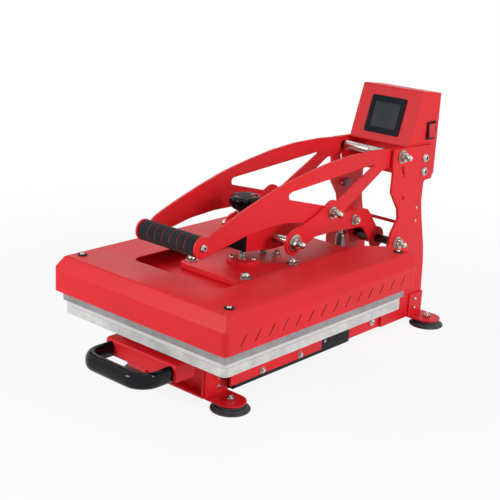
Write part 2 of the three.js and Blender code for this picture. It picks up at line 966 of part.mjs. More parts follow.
const frontHalf = half(drawerFrontWidth);
const drawerFrontBottom = hangerTop - drawerFrontHeight;
const drawerFrontTop = hangerTop - drawerFrontDrop;
const drawerFrontForm = (wall, bottom) =>
  extruded(
    outline([
      [wall, bottom],
      [drawerFrontDepth + wall, bottom],
      [drawerFrontDepth + wall, drawerFrontTop - wall],
      [wall, drawerFrontTop - wall, drawerFrontRound - wall],
    ]),
    "x",
    wall - frontHalf,
    frontHalf - wall,
  );
// A lip at the rear carries the box's top under the lower platen.
const drawerFront = join(
  cut(
    drawerFrontForm(0, drawerFrontBottom),
    drawerFrontForm(drawerFrontWall, drawerFrontBottom - overrun),
  ),
  box(
    [-frontHalf, drawerFrontDepth - drawerFrontWall, drawerFrontTop - half(drawerFrontWall)],
    [frontHalf, drawerFrontDepth, hangerTop],
  ),
);
add("drawer_front_bracket", drawerFront, redPaint);

// The pull is an oval bar bent twice, from one end on the bracket round to the other.
class PullRoute extends THREE.Curve {
  getPoint(share, target = new THREE.Vector3()) {
    const leg = pullReach - pullBend;
    const bow = (pullBend * Math.PI) / 2;
    const bar = pullSpread - 2 * pullBend;
    const total = 2 * (leg + bow) + bar;
    const mirrored = share > 0.5;
    const run = total * (mirrored ? 1 - share : share);
    const place = new THREE.Vector2(half(pullSpread), -run);
    if (run > leg + bow) {
      place.set(half(bar) - (run - leg - bow), -pullReach);
    } else if (run > leg) {
      const turn = (run - leg) / pullBend;
      place.set(
        half(bar) + pullBend * Math.cos(turn),
        -leg - pullBend * Math.sin(turn),
      );
    }
    const x = mirrored ? -place.x : place.x;
    return target.set(x, place.y - fit, hangerTop - pullDrop);
  }
}
const pullSection = new THREE.Shape();
pullSection.absellipse(0, 0, half(pullHeight), half(pullThickness), 0, 2 * Math.PI);
const pullGeometry = new THREE.ExtrudeGeometry(new THREE.Shape(pullSection.getPoints(pullSides)), {
  curveSegments: 1,
  steps: pullSteps,
  bevelEnabled: false,
  extrudePath: new PullRoute(),
});
add("drawer_pull", solidFrom(pullGeometry), blackPlastic);

// Heating head
const heatingShape = platenShape(heatingMargin, heatingCorner);
add("heating_platen", extruded(heatingShape, "z", heatingBottom, heatingTop), aluminium);
const insulationShape = platenShape(-insulationInset, heatingCorner);
add("insulation", extruded(insulationShape, "z", insulationBottom, insulationTop), wool);

// The cover's solid form, drawn in by a wall: side, front and plan outlines intersected.
function coverForm(wall, bottom) {
  const sideX = coverHalfWidth - wall;
  const frontY = wall - coverFrontOverhang;
  const rearY = coverRearY - wall;
  const top = coverTop - wall;
  const shoulder = coverEdge - wall * Math.tan(Math.atan2(coverChamferDepth, coverChamferHeight) / 2);
  const slope = (coverChamferDepth * (top - shoulder)) / coverChamferHeight;
  const sideView = outline([
    [frontY, bottom],
    [rearY, bottom],
    [rearY, top, coverEdgeRound],
    [frontY + slope, top, coverEdgeRound],
    [frontY, shoulder, coverEdgeRound],
  ]);
  const frontView = outline([
    [-sideX, bottom],
    [sideX, bottom],
    [sideX, shoulder, coverEdgeRound],
    [sideX - slope, top, coverEdgeRound],
    [slope - sideX, top, coverEdgeRound],
    [-sideX, shoulder, coverEdgeRound],
  ]);
  const plan = rectangle(-sideX, frontY, sideX, rearY, coverCorner);
  return extruded(sideView, "x", -sideX, sideX)
    .intersect(extruded(frontView, "y", frontY, rearY))
    .intersect(extruded(plan, "z", bottom, top));
}
// The opening for the beam runs out through the rear face, where its sides flare.
const flareY = coverRearY - openingFlare;
const flareReach = openingFlare + overrun;
const coverOpening = extruded(
  outline([
    [-half(openingWidth), openingFrontY, openingFrontCorner],
    [half(openingWidth), openingFrontY, openingFrontCorner],
    [half(openingWidth), flareY, openingFlareBend],
    [half(openingWidth) + flareReach, flareY + flareReach],
    [-half(openingWidth) - flareReach, flareY + flareReach],
    [-half(openingWidth), flareY, openingFlareBend],
  ]),
  "z",
  trayTop,
  coverTop + overrun,
);

// The vents are slots through both sides that lean backwards.
const ventBottom = coverBottom + ventRise;
const ventPitch = (coverRearY - ventRearMargin - ventFrontY) / (ventCount - 1);
const vents = Array.from({ length: ventCount }, (_, i) => {
  const y = ventFrontY + i * ventPitch;
  const shape = outline([
    [y, ventBottom],
    [y + ventWidth, ventBottom],
    [y + ventWidth + ventSlant, ventBottom + ventHeight],
    [y + ventSlant, ventBottom + ventHeight],
  ]);
  return extruded(shape, "x", -coverHalfWidth - overrun, coverHalfWidth + overrun);
});
const cover = cut(
  coverForm(0, coverBottom),
  coverForm(coverWall, coverBottom - overrun),
  coverOpening,
  ...vents,
);
add("cover", cover, redPaint);

const trayMargin = coverWall + fit;
const tray = extruded(
  rectangle(
    trayMargin - coverHalfWidth,
    trayMargin - coverFrontOverhang,
    coverHalfWidth - trayMargin,
    coverRearY - trayMargin,
    coverCorner,
  ),
  "z",
  trayBottom,
  trayTop,
);
add("head_tray", tray, redPaint);

// The backing plate carries four large bolts and the thrust flange that holds the pressure screw.
const backingShape = around([0, screwY], half(backingWidth), half(backingDepth), backingCorner);
const washerTop = backingTop + backingWasherThickness;
const backingBolts = [left, right].flatMap((side) =>
  [-1, 1].flatMap((end) => {
    const centre = [
      side * half(backingBoltSpreadX),
      screwY + end * half(backingBoltSpreadY),
      0,
    ];
    return [
      disc("z", centre, backingWasherRadius, backingTop - backingWasherThickness, washerTop),
      disc("z", centre, backingBoltRadius, washerTop - fit, washerTop + backingBoltHeight, hexSides),
    ];
  }),
);
const hubTop = flangeTop + flangeHubHeight;
const screwCentre = [0, screwY, 0];
const screwBore = (from, to) => disc("z", screwCentre, screwRadius + fit, from, to);
const backing = cut(
  join(
    extruded(backingShape, "z", backingBottom, backingTop),
    ...backingBolts,
    disc("z", screwCentre, flangeRadius, backingTop - fit, flangeTop),
    disc("z", screwCentre, flangeHubRadius, backingTop - fit, hubTop),
  ),
  screwBore(backingTop, hubTop + overrun),
);
add("backing_plate", backing, redPaint);

// Press beam: an inverted channel whose web follows its top and rear edges
const onBeam = (shares) =>
  scaled(shares, hinge, -beamReach, beamHeight, beamBend);
const beamSide = half(beamWidth);
const beamTopAt = (y) => {
  const [front, knee] = onBeam(beamOutlineShares);
  return THREE.MathUtils.mapLinear(y, front[0], knee[0], front[1], knee[1]);
};
const beamForm = (halfWidth) =>
  join(
    extruded(outline(onBeam(beamOutlineShares)), "x", -halfWidth, halfWidth),
    across(hinge, beamEyeRadius, -halfWidth, halfWidth),
  );
const beamReachOut = beamSide + overrun;
const beamHollow = beamForm(beamSide - beamWall).translate([0, -beamWall, -beamWall]);
const bushTop = beamTopAt(screwY - bushCollarRadius) + fit;
const beam = cut(
  beamForm(beamSide),
  beamHollow,
  across(hinge, hingeShaftRadius + fit, -beamReachOut, beamReachOut),
  across(liftPivot, liftShaftRadius + fit, -beamReachOut, beamReachOut),
  across(springSeat, springShaftRadius + fit, -beamReachOut, beamReachOut),
  disc("z", screwCentre, bushRadius + fit, hubTop, bushTop + overrun),
);
add("press_beam", beam, redPaint);

const bush = cut(
  join(
    disc("z", screwCentre, bushRadius, bushTop - bushDrop, bushTop),
    disc("z", screwCentre, bushCollarRadius, bushTop, bushTop + bushCollarHeight),
  ),
  screwBore(hubTop, bushTop + bushCollarHeight + overrun),
);
add("threaded_bush", bush, steel);

const beamFrontY = hingeY - beamReach;
const [beamFrontTop] = onBeam(beamOutlineShares);
const beamFrontBottom = onBeam(beamOutlineShares).at(-1)[1];
const capCentre = [0, half(beamFrontTop[1] + beamFrontBottom)];
const capHalfHeight = half(beamFrontTop[1] - beamFrontBottom);
const beamCap = join(
  extruded(
    around(capCentre, beamSide, capHalfHeight, half(beamCapThickness)),
    "y",
    beamFrontY - fit - beamCapThickness,
    beamFrontY - fit,
  ),
  extruded(
    around(capCentre, beamSide - beamWall - fit, capHalfHeight - 2 * beamWall),
    "y",
    beamFrontY - fit - half(beamCapThickness),
    beamFrontY + beamCapPlug,
  ),
);
add("beam_end_cap", beamCap, blackPlastic);

// The lift shaft runs through the beam and both links.
const liftEnd = linkOuter + fit;
const liftShaft = join(
  across(liftPivot, liftShaftRadius, -liftEnd, liftEnd),
  ...Object.values(sides).map((side) => fastening(liftPivot, side, liftShaftRadius, liftEnd)),
);
add("lift_shaft", liftShaft, steel);

const springShaftEnd = beamSide + fit;
const springShaft = join(
  across(springSeat, springShaftRadius, -springShaftEnd, springShaftEnd),
  ...Object.values(sides).map((side) =>
    fastening(springSeat, side, springShaftRadius, springShaftEnd),
  ),
);
add("spring_shaft", springShaft, steel);

// Links and their knee pins
function link(side) {
  const plate = sidePlate(
    slotShape(liftPivot, kneePivot, linkEndRadius, linkWaistRadius),
    side,
    linkInner,
    linkOuter,
  );
  const reachIn = linkInner - overrun;
  const reachOut = linkOuter + overrun;
  return cut(
    plate,
    acrossSide(liftPivot, side, liftShaftRadius + fit, reachIn, reachOut),
    acrossSide(kneePivot, side, linkPinRadius + fit, reachIn, reachOut),
  );
}
const kneePin = (side) =>
  join(
    acrossSide(kneePivot, side, linkPinRadius, linkInner, linkOuter + fit),
    fastening(kneePivot, side, linkPinRadius, linkOuter + fit),
  );
eachSide((word, side) => {
  add(`${word}_link`, link(side), redPaint);
  add(`${word}_knee_pin`, kneePin(side), steel);
});

// Arms with the grip between them
const armOrigin = [topPivot[0], gripAxis[1]];
const onArm = (shares) => scaled(shares, armOrigin, -gripReach, gripDrop, armBend);
function arm(side) {
  const reachIn = armInset - overrun;
  const reachOut = armOuter + overrun;
  const body = join(
    sidePlate(outline(onArm(armOutlineShares)), side, armInset, armOuter),
    acrossSide(topPivot, side, armEyeRadius, armInset, armOuter),
    acrossSide(kneePivot, side, armLinkEyeRadius, armInset, armOuter),
    acrossSide(gripAxis, side, armGripEyeRadius, armInset, armOuter),
    acrossSide(
      kneePivot,
      side,
      linkPinRadius + nutMargin,
      armInset - nutHeight,
      armInset + fit,
      hexSides,
    ),
  );
  return cut(
    body,
    sidePlate(outline(onArm(armWindowShares)), side, reachIn, reachOut),
    acrossSide(topPivot, side, topShaftRadius + fit, reachIn, reachOut),
    acrossSide(gripAxis, side, gripRodRadius + fit, reachIn, reachOut),
  );
}
eachSide((word, side) => add(`${word}_arm`, arm(side), redPaint));

const gripEnd = armOuter + fit;
const gripRod = join(
  across(gripAxis, gripRodRadius, -gripEnd, gripEnd, smallSides),
  ...Object.values(sides).map((side) =>
    acrossSide(gripAxis, side, gripHeadRadius, gripEnd, gripEnd + gripHeadHeight),
  ),
);
add("grip_rod", gripRod, steel);
const foamEnd = armInset - fit;
const foamGrip = cut(
  across(gripAxis, foamRadius, -foamEnd, foamEnd),
  across(gripAxis, gripRodRadius + fit, -foamEnd - overrun, foamEnd + overrun, smallSides),
);
add("foam_grip", foamGrip, foam);

// Gas spring: drawn upright along Z from its foot, then leaned over to its seat in the beam
const springRun = new THREE.Vector2(springSeat[0] - springFoot[0], springSeat[1] - springFoot[1]);
const springLean = Math.atan2(springRun.x, springRun.y);
const springLength = springRun.length();
const leaned = (solid) =>
  solid.rotate([-THREE.MathUtils.radToDeg(springLean), 0, 0]).translate([0, ...springFoot]);
const origin = [0, 0, 0];
const halfEye = half(springEyeWidth);
const tubeTop = springTubeStart + springTubeLength;
const springTube = cut(
  join(
    disc("z", origin, springTubeRadius, springTubeStart, tubeTop),
    disc("z", origin, half(springEyeWidth), 0, springTubeStart + fit, smallSides),
    disc("x", origin, springEyeRadius, -halfEye, halfEye),
  ),
  disc("x", origin, springPinRadius + fit, -halfEye - overrun, halfEye + overrun, smallSides),
  disc(
    "z",
    origin,
    springRodRadius + fit,
    tubeTop - springRodOverlap - overrun,
    tubeTop + overrun,
    smallSides,
  ),
);
const seatCentre = [0, 0, springLength];
const springRod = cut(
  join(
    disc("z", origin, springRodRadius, tubeTop - springRodOverlap, springLength, smallSides),
    disc("x", seatCentre, springSeatEyeRadius, -halfEye, halfEye),
  ),
  disc("x", seatCentre, springShaftRadius + springSeatPlay, -halfEye - overrun, halfEye + overrun),
);
add("spring_tube", leaned(springTube), blackPlastic);
add("spring_rod", leaned(springRod), steel);

// The anchor lies between the rails and holds the spring's foot pin between two ears.
const anchorBottom = baseBottom + railWall + fit;
const anchorTop = anchorBottom + anchorHeight;
const anchorX = baseSide - railWall - fit;
const earInner = halfEye + fit;
const earOuter = earInner + springEarWall;
const ears = Object.values(sides).map((side) =>
  join(
    sidePlate(
      rectangle(
        springFootY - springEarMargin,
        anchorTop - fit,
        springFootY + springEarMargin,
        springFootZ,
      ),
      side,
      earInner,
      earOuter,
    ),
    acrossSide(springFoot, side, springEarMargin, earInner, earOuter),
  ),
);
const anchor = join(
  box(
    [-anchorX, springFootY - half(anchorDepth), anchorBottom],
    [anchorX, springFootY + half(anchorDepth), anchorTop],
  ),
  ...ears,
  across(springFoot, springPinRadius, -earOuter, earOuter, smallSides),
);
add("spring_anchor", anchor, blackSteel);

// Pressure screw and its knob
const knobBottom = bushTop + bushCollarHeight + knobClearance;
const knobHead = knobBottom + knobHubLength;
const knobTop = knobHead + knobHeadHeight;
const knobBody = turned("z", screwCentre, [
  [0, knobBottom],
  [knobHubRadius, knobBottom],
  [knobHubRadius, knobHead],
  [knobRadius - knobUndercut, knobHead],
  [knobRadius, knobHead + knobUndercut],
  [knobRadius, knobTop - knobDome],
  [knobRadius - half(knobDome), knobTop - half(half(knobDome))],
  [knobRadius - 2 * knobDome, knobTop],
  [0, knobTop],
]);
const flutes = Array.from({ length: knobFluteCount }, (_, i) => {
  const turn = (2 * Math.PI * i) / knobFluteCount;
  const reach = knobRadius + half(knobFluteRadius);
  const centre = [reach * Math.cos(turn), screwY + reach * Math.sin(turn), 0];
  return disc("z", centre, knobFluteRadius, knobHead - overrun, knobTop + overrun, smallSides);
});
const screwTop = knobBottom + knobBoreDepth - fit;
const knob = cut(knobBody, ...flutes, screwBore(knobBottom - overrun, screwTop + fit));
add("pressure_knob", knob, blackPlastic);
const screwBottom = backingTop + fit;
add("pressure_screw", disc("z", screwCentre, screwRadius, screwBottom, screwTop, smallSides), steel);

// Centred over the table
const bounds = new THREE.Box3().setFromObject(group);
const middle = bounds.getCenter(new THREE.Vector3());
group.children.forEach((mesh) => mesh.geometry.translate(-middle.x, -middle.y, -bounds.min.z));

export default group;
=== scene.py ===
"""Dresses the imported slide-out heat press: its finishes, its turned and moulded pieces, and the stage."""

import json
import math

import bpy
import numpy as np
from mathutils import Matrix, Vector


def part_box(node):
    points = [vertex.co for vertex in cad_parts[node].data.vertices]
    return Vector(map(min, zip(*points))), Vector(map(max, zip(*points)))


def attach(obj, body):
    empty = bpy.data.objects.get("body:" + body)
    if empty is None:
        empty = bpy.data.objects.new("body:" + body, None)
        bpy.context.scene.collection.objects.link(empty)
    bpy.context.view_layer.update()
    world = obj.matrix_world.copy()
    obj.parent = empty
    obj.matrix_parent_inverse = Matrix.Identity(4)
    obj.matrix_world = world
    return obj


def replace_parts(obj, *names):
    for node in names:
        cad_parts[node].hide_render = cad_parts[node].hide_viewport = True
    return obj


bl_info = {
    "name": "Slide-out heat press",
    "version": (1, 0, 0),
    "blender": (4, 5, 0),
    "location": "3D View > Sidebar > Heat press",
    "description": "Finishes, fastenings and stage for a lever heat press with a drawer platen",
    "category": "Object",
}

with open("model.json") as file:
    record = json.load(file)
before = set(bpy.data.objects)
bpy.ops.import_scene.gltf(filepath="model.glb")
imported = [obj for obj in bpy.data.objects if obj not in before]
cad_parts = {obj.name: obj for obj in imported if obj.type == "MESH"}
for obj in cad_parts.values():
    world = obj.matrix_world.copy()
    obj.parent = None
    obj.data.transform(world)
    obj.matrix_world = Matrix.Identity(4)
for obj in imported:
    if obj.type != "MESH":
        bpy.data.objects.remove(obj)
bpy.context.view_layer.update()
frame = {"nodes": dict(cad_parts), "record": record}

MM = 0.001
FULL_TURN = 2 * math.pi
X_AXIS, Y_AXIS, Z_AXIS = (1, 0, 0), (0, 1, 0), (0, 0, 1)
SIDES = {"right": 1, "left": -1}
ENDS = ("front", "rear")
SHARP_ANGLE = math.radians(32)

# The photograph's view
CAMERA_PLACE = (1.2908, -1.57085, 0.8482)
CAMERA_RIGHT = (0.74507, 0.66500, 0.05138)
CAMERA_UP = (-0.23413, 0.18864, 0.95373)
CAMERA_FORWARD = (-0.62454, 0.72263, -0.29624)
CAMERA_LENS = 78.6
SENSOR_WIDTH = 36

# Place and size in metres, and power in watts
LAMPS = {
    "key": ((-1.0, -2.5, 1.25), 1.0, 40),
    "side": ((2.7, 0.45, 1.2), 1.0, 41),
    "top": ((0.1, 0.2, 2.9), 1.0, 9),
    "rear": ((-1.9, 1.3, 1.9), 0.7, 3),
}
# What the white world gives to diffuse light
WORLD_DIFFUSE = 0.25
# Half the floor's size, the white's share of it under the press, and where that share starts and ends growing
FLOOR_REACH = 25
FLOOR_GLOW = 0.88
FLOOR_FADE = (0.5, 1.6)


class PressSettings(bpy.types.PropertyGroup):
    """Colours and sizes of the press's dressing."""

    paint_colour: bpy.props.FloatVectorProperty(
        name="Paint", description="Powder coat of the plates", subtype="COLOR",
        size=3, min=0, max=1, default=(0.76, 0.011, 0.019))
    plastic_colour: bpy.props.FloatVectorProperty(
        name="Black plastic", description="Pull, knob, end cap, switch frame and inlet", subtype="COLOR",
        size=3, min=0, max=1, default=(0.004, 0.005, 0.008))
    rubber_colour: bpy.props.FloatVectorProperty(
        name="Rubber", description="Suction feet", subtype="COLOR",
        size=3, min=0, max=1, default=(0.022, 0.025, 0.032))
    foam_colour: bpy.props.FloatVectorProperty(
        name="Foam", description="Sleeve of the grip", subtype="COLOR",
        size=3, min=0, max=1, default=(0.008, 0.009, 0.011))
    ring_colour: bpy.props.FloatVectorProperty(
        name="Ring colour", description="Thin rings round the grip", subtype="COLOR",
        size=3, min=0, max=1, default=(0.33, 0.012, 0.030))
    platen_colour: bpy.props.FloatVectorProperty(
        name="Platen", description="Cast aluminium of the lower platen", subtype="COLOR",
        size=3, min=0, max=1, default=(0.66, 0.65, 0.64))
    ring_count: bpy.props.IntProperty(
        name="Grip rings", description="How many rings the grip has", min=1, max=12, default=6)
    ring_pitch: bpy.props.FloatProperty(
        name="Ring pitch", description="From one ring on the grip to the next", subtype="DISTANCE",
        unit="LENGTH", default=18.3 * MM)
    ring_width: bpy.props.FloatProperty(
        name="Ring width", description="Width of one ring on the grip", subtype="DISTANCE",
        unit="LENGTH", default=1.5 * MM)
    flute_count: bpy.props.IntProperty(
        name="Knob flutes", description="How many flutes run round the knob", min=6, max=24, default=12)
    flute_depth: bpy.props.FloatProperty(
        name="Flute depth", description="Depth of the knob's flutes", subtype="DISTANCE",
        unit="LENGTH", default=3 * MM)
    thread_pitch: bpy.props.FloatProperty(
        name="Thread pitch", description="Rise of the pressure screw in one turn",
        subtype="DISTANCE", unit="LENGTH", default=2 * MM)
    edge_radius: bpy.props.FloatProperty(
        name="Edge radius", description="How far the paint rounds the plates' edges",
        subtype="DISTANCE", unit="LENGTH", default=1.1 * MM)


def mm(sizes):
    """Sizes written in millimetres, as metres."""
    return np.asarray(sizes, float) * MM


# Shader graphs as Python expressions

class Term:
    """One shader value. Arithmetic on it adds Math nodes to its graph."""

    def __init__(self, graph, socket):
        self.graph = graph
        self.socket = socket

    def _math(self, operation, other):
        return self.graph.node("ShaderNodeMath", {"operation": operation}, {0: self, 1: other})

    def __add__(self, other):
        return self._math("ADD", other)

    def __mul__(self, other):
        return self._math("MULTIPLY", other)

    def __abs__(self):
        return self._math("ABSOLUTE", 0)

    def at_most(self, other):
        return self._math("MINIMUM", other)

    def within(self, low, high):
        """1 where the value lies between the two, and 0 elsewhere."""
        return self._math("GREATER_THAN", low) * self._math("LESS_THAN", high)


class Graph:
    """A node tree whose nodes all come from one method."""

    def __init__(self, tree):
        self.tree = tree

    def node(self, kind, settings=None, inputs=None, output=0):
        """Adds a node: its settings first, then each input as a value or a link."""
        made = self.tree.nodes.new(kind)
        for key, value in (settings or {}).items():
            setattr(made, key, value)
        for key, value in (inputs or {}).items():
            self.feed(made.inputs[key], value)
        return Term(self, made.outputs[output])

    def feed(self, socket, value):
        if isinstance(value, Term):
            self.tree.links.new(value.socket, socket)
        elif socket.type == "RGBA" and len(value) == 3:
            socket.default_value = (*value, 1)
        else:
            socket.default_value = value

    def seen(self):
        """1 for the rays of the camera, of reflections and through glass, and 0 for the rest."""
        rays = self.node("ShaderNodeLightPath").socket.node.outputs
        kinds = [Term(self, rays[f"Is {kind} Ray"]) for kind in ("Camera", "Glossy", "Transmission")]
        return (kinds[0] + kinds[1] + kinds[2]).at_most(1)

    def between(self, value, low, high, start=0, end=1):
        """The value's run from low to high, mapped from start to end and held at both."""
        return self.node("ShaderNodeMapRange", {"interpolation_type": "SMOOTHSTEP"}, {
            "Value": value, "From Min": low, "From Max": high, "To Min": start, "To Max": end})


class Finish(Graph):
    """The node tree of one material, with its principled shader and object coordinates."""

    def __init__(self, name):
        self.material = bpy.data.materials.new(name)
        self.material.use_nodes = True
        super().__init__(self.material.node_tree)
        self.shader = self.tree.nodes["Principled BSDF"]
        self.place = self.node("ShaderNodeTexCoord", output="Object")

    def set(self, **values):
        """Sets the principled shader's sockets, with underscores for the spaces in their names."""
        for key, value in values.items():
            self.feed(self.shader.inputs[key.replace("_", " ")], value)

    def stretched(self, scale):
        return self.node("ShaderNodeMapping", None, {"Vector": self.place, "Scale": scale}, "Vector")

    def noise(self, scale, detail=2, where=None, roughness=0.5):
        return self.node("ShaderNodeTexNoise", None, {
            "Vector": where or self.place, "Scale": scale, "Detail": detail, "Roughness": roughness})

    def cells(self, scale):
        return self.node("ShaderNodeTexVoronoi", None, {"Vector": self.place, "Scale": scale})

    def mix(self, share, first, second):
        """The first colour turning into the second as the share goes from 0 to 1."""
        return self.node("ShaderNodeMix", {"data_type": "RGBA"}, {0: share, 6: first, 7: second}, 2)

    def bump(self, height, strength, distance, edge=0.0):
        """A bumped normal, on edges that look rounded where an edge radius is given."""
        inputs = {"Height": height, "Strength": strength, "Distance": distance}
        if edge:
            inputs["Normal"] = self.node("ShaderNodeBevel", {"samples": 4}, {"Radius": edge})
        self.set(Normal=self.node("ShaderNodeBump", None, inputs))


def tinted(colour, factor):
    """The colour made darker or brighter, with no channel past 1."""
    return tuple(min(1, channel * factor) for channel in colour)


def powder_coat(name, colour, edge, slot_shade_box=None):
    """Red powder coat: a faint orange peel, a little cloudiness and slightly uneven gloss. Where a box is given,
    the colour inside it turns near-black: painted shade on the walls of the cover's slots. The box is the low
    and high corner on the right side, mirrored on the left."""
    finish = Finish(name)
    cloud = finish.noise(7, 3)
    speck = finish.noise(420, 2)
    shade = finish.mix(finish.between(cloud, 0.3, 0.7), tinted(colour, 0.94), tinted(colour, 1.05))
    shade = finish.mix(finish.between(speck, 0.62, 0.8, 0, 0.2), shade, tinted(colour, 1.3))
    # Painted shade: the slot walls inside the box take a near-black colour.
    if slot_shade_box:
        split = finish.node("ShaderNodeSeparateXYZ", None, {0: finish.place}).socket.node.outputs
        x, y, z = (Term(finish, output) for output in split)
        low, high = slot_shade_box
        slot_shade = abs(x).within(low[0], high[0]) * y.within(low[1], high[1]) * z.within(low[2], high[2])
        shade = finish.mix(slot_shade, shade, SLOT_SHADE_COLOUR)
    finish.set(Base_Color=shade, Specular_IOR_Level=0.28,
               Roughness=finish.between(cloud, 0.25, 0.75, 0.40, 0.49))
    finish.bump(finish.noise(800, 2), 0.10, 0.12 * MM, edge)
    return finish.material


def bright_metal(name, colour, roughness):
    """Zinc-plated or ground steel, with faint tool lines and a little staining."""
    finish = Finish(name)
    grain = finish.noise(3, 3, finish.stretched((60, 60, 900)))
    stain = finish.noise(90, 3)
    shade = finish.mix(finish.between(stain, 0.35, 0.75), colour, tinted(colour, 0.84))
    finish.set(Base_Color=shade, Metallic=1.0,
               Roughness=finish.between(grain, 0.3, 0.7, roughness, roughness + 0.08))
    finish.bump(grain, 0.03, 0.04 * MM)
    return finish.material


def cast_plate(name, colour, metallic, roughness, lines):
    """Machined casting: mottled skin, long cutter lines and a few dull patches."""
    finish = Finish(name)
    mottle = finish.noise(38, 5, roughness=0.62)
    cutter = finish.noise(2.2, 2, finish.stretched(lines))
    patch = finish.noise(11, 2)
    shade = finish.mix(finish.between(mottle, 0.32, 0.7), tinted(colour, 0.80), tinted(colour, 1.10))
    shade = finish.mix(finish.between(patch, 0.5, 0.75, 0, 0.3), shade, tinted(colour, 0.84))
    finish.set(Base_Color=shade, Metallic=metallic,
               Roughness=finish.between(mottle, 0.3, 0.7, roughness - 0.06, roughness + 0.12))
    finish.bump(mottle * 0.4 + cutter * 0.6, 0.10, 0.15 * MM)
    return finish.material


def moulded(name, colour, roughness, grain=0.05, shine=0.2):
    """Moulded plastic with a fine texture and faint flow marks."""
    finish = Finish(name)
    flow = finish.noise(24, 2)
    shade = finish.mix(finish.between(flow, 0.3, 0.7), tinted(colour, 0.85), tinted(colour, 1.25))
    finish.set(Base_Color=shade, Specular_IOR_Level=shine,
               Roughness=finish.between(flow, 0.3, 0.7, roughness - 0.03, roughness + 0.05))
    finish.bump(finish.noise(1500, 1), grain, 0.08 * MM)
    return finish.material


def soft_rubber(name, colour, roughness, bloom):
    """Rubber with a dusty bloom and small pores."""
    finish = Finish(name)
    dust = finish.noise(55, 4)
    shade = finish.mix(finish.between(dust, 0.45, 0.8, 0, bloom), colour, (0.16, 0.16, 0.165))
    finish.set(Base_Color=shade,
               Roughness=finish.between(dust, 0.3, 0.7, roughness - 0.06, roughness + 0.06))
    finish.bump(finish.noise(1200, 2), 0.12, 0.1 * MM)
    return finish.material


def closed_foam(name, colour):
    """Closed-cell foam: small cells, a worn sheen and a little fluff."""
    finish = Finish(name)
    cell = finish.cells(650)
    wear = finish.noise(30, 3)
    shade = finish.mix(finish.between(cell, 0.1, 0.7), tinted(colour, 0.6), tinted(colour, 1.5))
    shade = finish.mix(finish.between(wear, 0.5, 0.8, 0, 0.4), shade, tinted(colour, 2.2))
    finish.set(Base_Color=shade, Roughness=finish.between(wear, 0.3, 0.7, 0.8, 0.95),
               Specular_IOR_Level=0.25, Sheen_Weight=0.05)
    finish.bump(cell, 0.35, 0.25 * MM)
    return finish.material


def mineral_wool(name):
    """Fibre board whose colour is near-black as painted shade, for the gap behind the cover's slots; the streaks
    are its fibre grain.
    """
    finish = Finish(name)
    fibre = finish.noise(4, 5, finish.stretched((40, 40, 260)))
    # Near-black: painted shade for the gap behind the slots.
    finish.set(Base_Color=finish.mix(fibre, (0.030, 0.026, 0.024), (0.065, 0.058, 0.052)), Roughness=0.95)
    finish.bump(fibre, 0.6, 1.2 * MM)
    return finish.material


def dark_screen(name):
    """A touch screen that is off: dark grey under satin glass, with faint smears."""
    finish = Finish(name)
    smear = finish.noise(2, 4, finish.stretched((30, 12, 12)))
    shade = finish.mix(finish.between(smear, 0.35, 0.7), (0.026, 0.031, 0.040), (0.031, 0.037, 0.047))
    finish.set(Base_Color=shade, Specular_IOR_Level=0.12,
               Roughness=finish.between(smear, 0.4, 0.75, 0.29, 0.33))
    finish.bump(finish.noise(900, 1), 0.01, 0.05 * MM)
    return finish.material


# Meshes from numpy grids and profiles

class Mould:
    """Collects closed shells as arrays of points and lists of faces, then makes one piece of them."""

    def __init__(self):
        self.points = []
        self.faces = []
        self.finish = []
        self.count = 0

    def shell(self, points, faces, finish=0):
        self.points.append(np.asarray(points, float))
        self.faces += [tuple(int(i) + self.count for i in face) for face in faces]
        self.finish += [finish] * len(faces)
        self.count += len(points)

    def piece(self, name, slots, body):
        """Makes the piece, with one material for each slot, and lets it ride on a body."""
        mesh = bpy.data.meshes.new(name)
        mesh.from_pydata(np.concatenate(self.points).tolist(), [], self.faces)
        for slot in slots:
            mesh.materials.append(finish_for(slot))
        mesh.polygons.foreach_set("material_index", self.finish)
        mesh.update()
        mesh.shade_smooth()
        mesh.set_sharp_from_angle(angle=SHARP_ANGLE)
        made = bpy.data.objects.new(name, mesh)
        bpy.context.scene.collection.objects.link(made)
        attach(made, body)
        return made


def axis_frame(axis):
    """Two cross directions and the axis itself, as unit vectors, right-handed."""
    along = np.array(axis, float)
    along /= np.linalg.norm(along)
    helper = np.array(Z_AXIS, float) if abs(along[2]) < 0.9 else np.array(X_AXIS, float)
    first = np.cross(helper, along)
    first /= np.linalg.norm(first)
    return first, np.cross(along, first), along


def ring_faces(rings, around, start_pole, end_pole):
    """Faces of a grid of rings that is closed round the axis, with a fan at each pole."""
    row = np.arange(rings - 1)[:, None] * around
    turn = np.arange(around)
    ahead = (turn + 1) % around
    quads = np.stack([row + turn, row + ahead, row + around + ahead, row + around + turn], -1)
    faces = quads.reshape(-1, 4).tolist()
    pole = rings * around
    if start_pole:
        faces += np.stack([np.full(around, pole), ahead, turn], 1).tolist()
        pole += 1
    if end_pole:
        last = (rings - 1) * around
        faces += np.stack([np.full(around, pole), last + turn, last + ahead], 1).tolist()
    return faces


def softened(profile, radius, steps=3):
    """Rounds the corners of an open profile: each corner becomes steps + 1 points of an arc-like curve
    (1-t)^2 A + 2t(1-t) B + t^2 C, with A and C on its two sides and B at the corner."""
    profile = np.asarray(profile, float)
    rows = [profile[:1]]
    t = np.linspace(0, 1, steps + 1)[:, None]
    for before, corner, after in zip(profile[:-2], profile[1:-1], profile[2:]):
        back, ahead = before - corner, after - corner
        longest = 0.45 * min(np.linalg.norm(back), np.linalg.norm(ahead))
        reach = min(radius, longest)
        start = corner + back / np.linalg.norm(back) * reach
        end = corner + ahead / np.linalg.norm(ahead) * reach
        rows.append((1 - t) ** 2 * start + 2 * t * (1 - t) * corner + t ** 2 * end)
    rows.append(profile[-1:])
    return np.concatenate(rows)


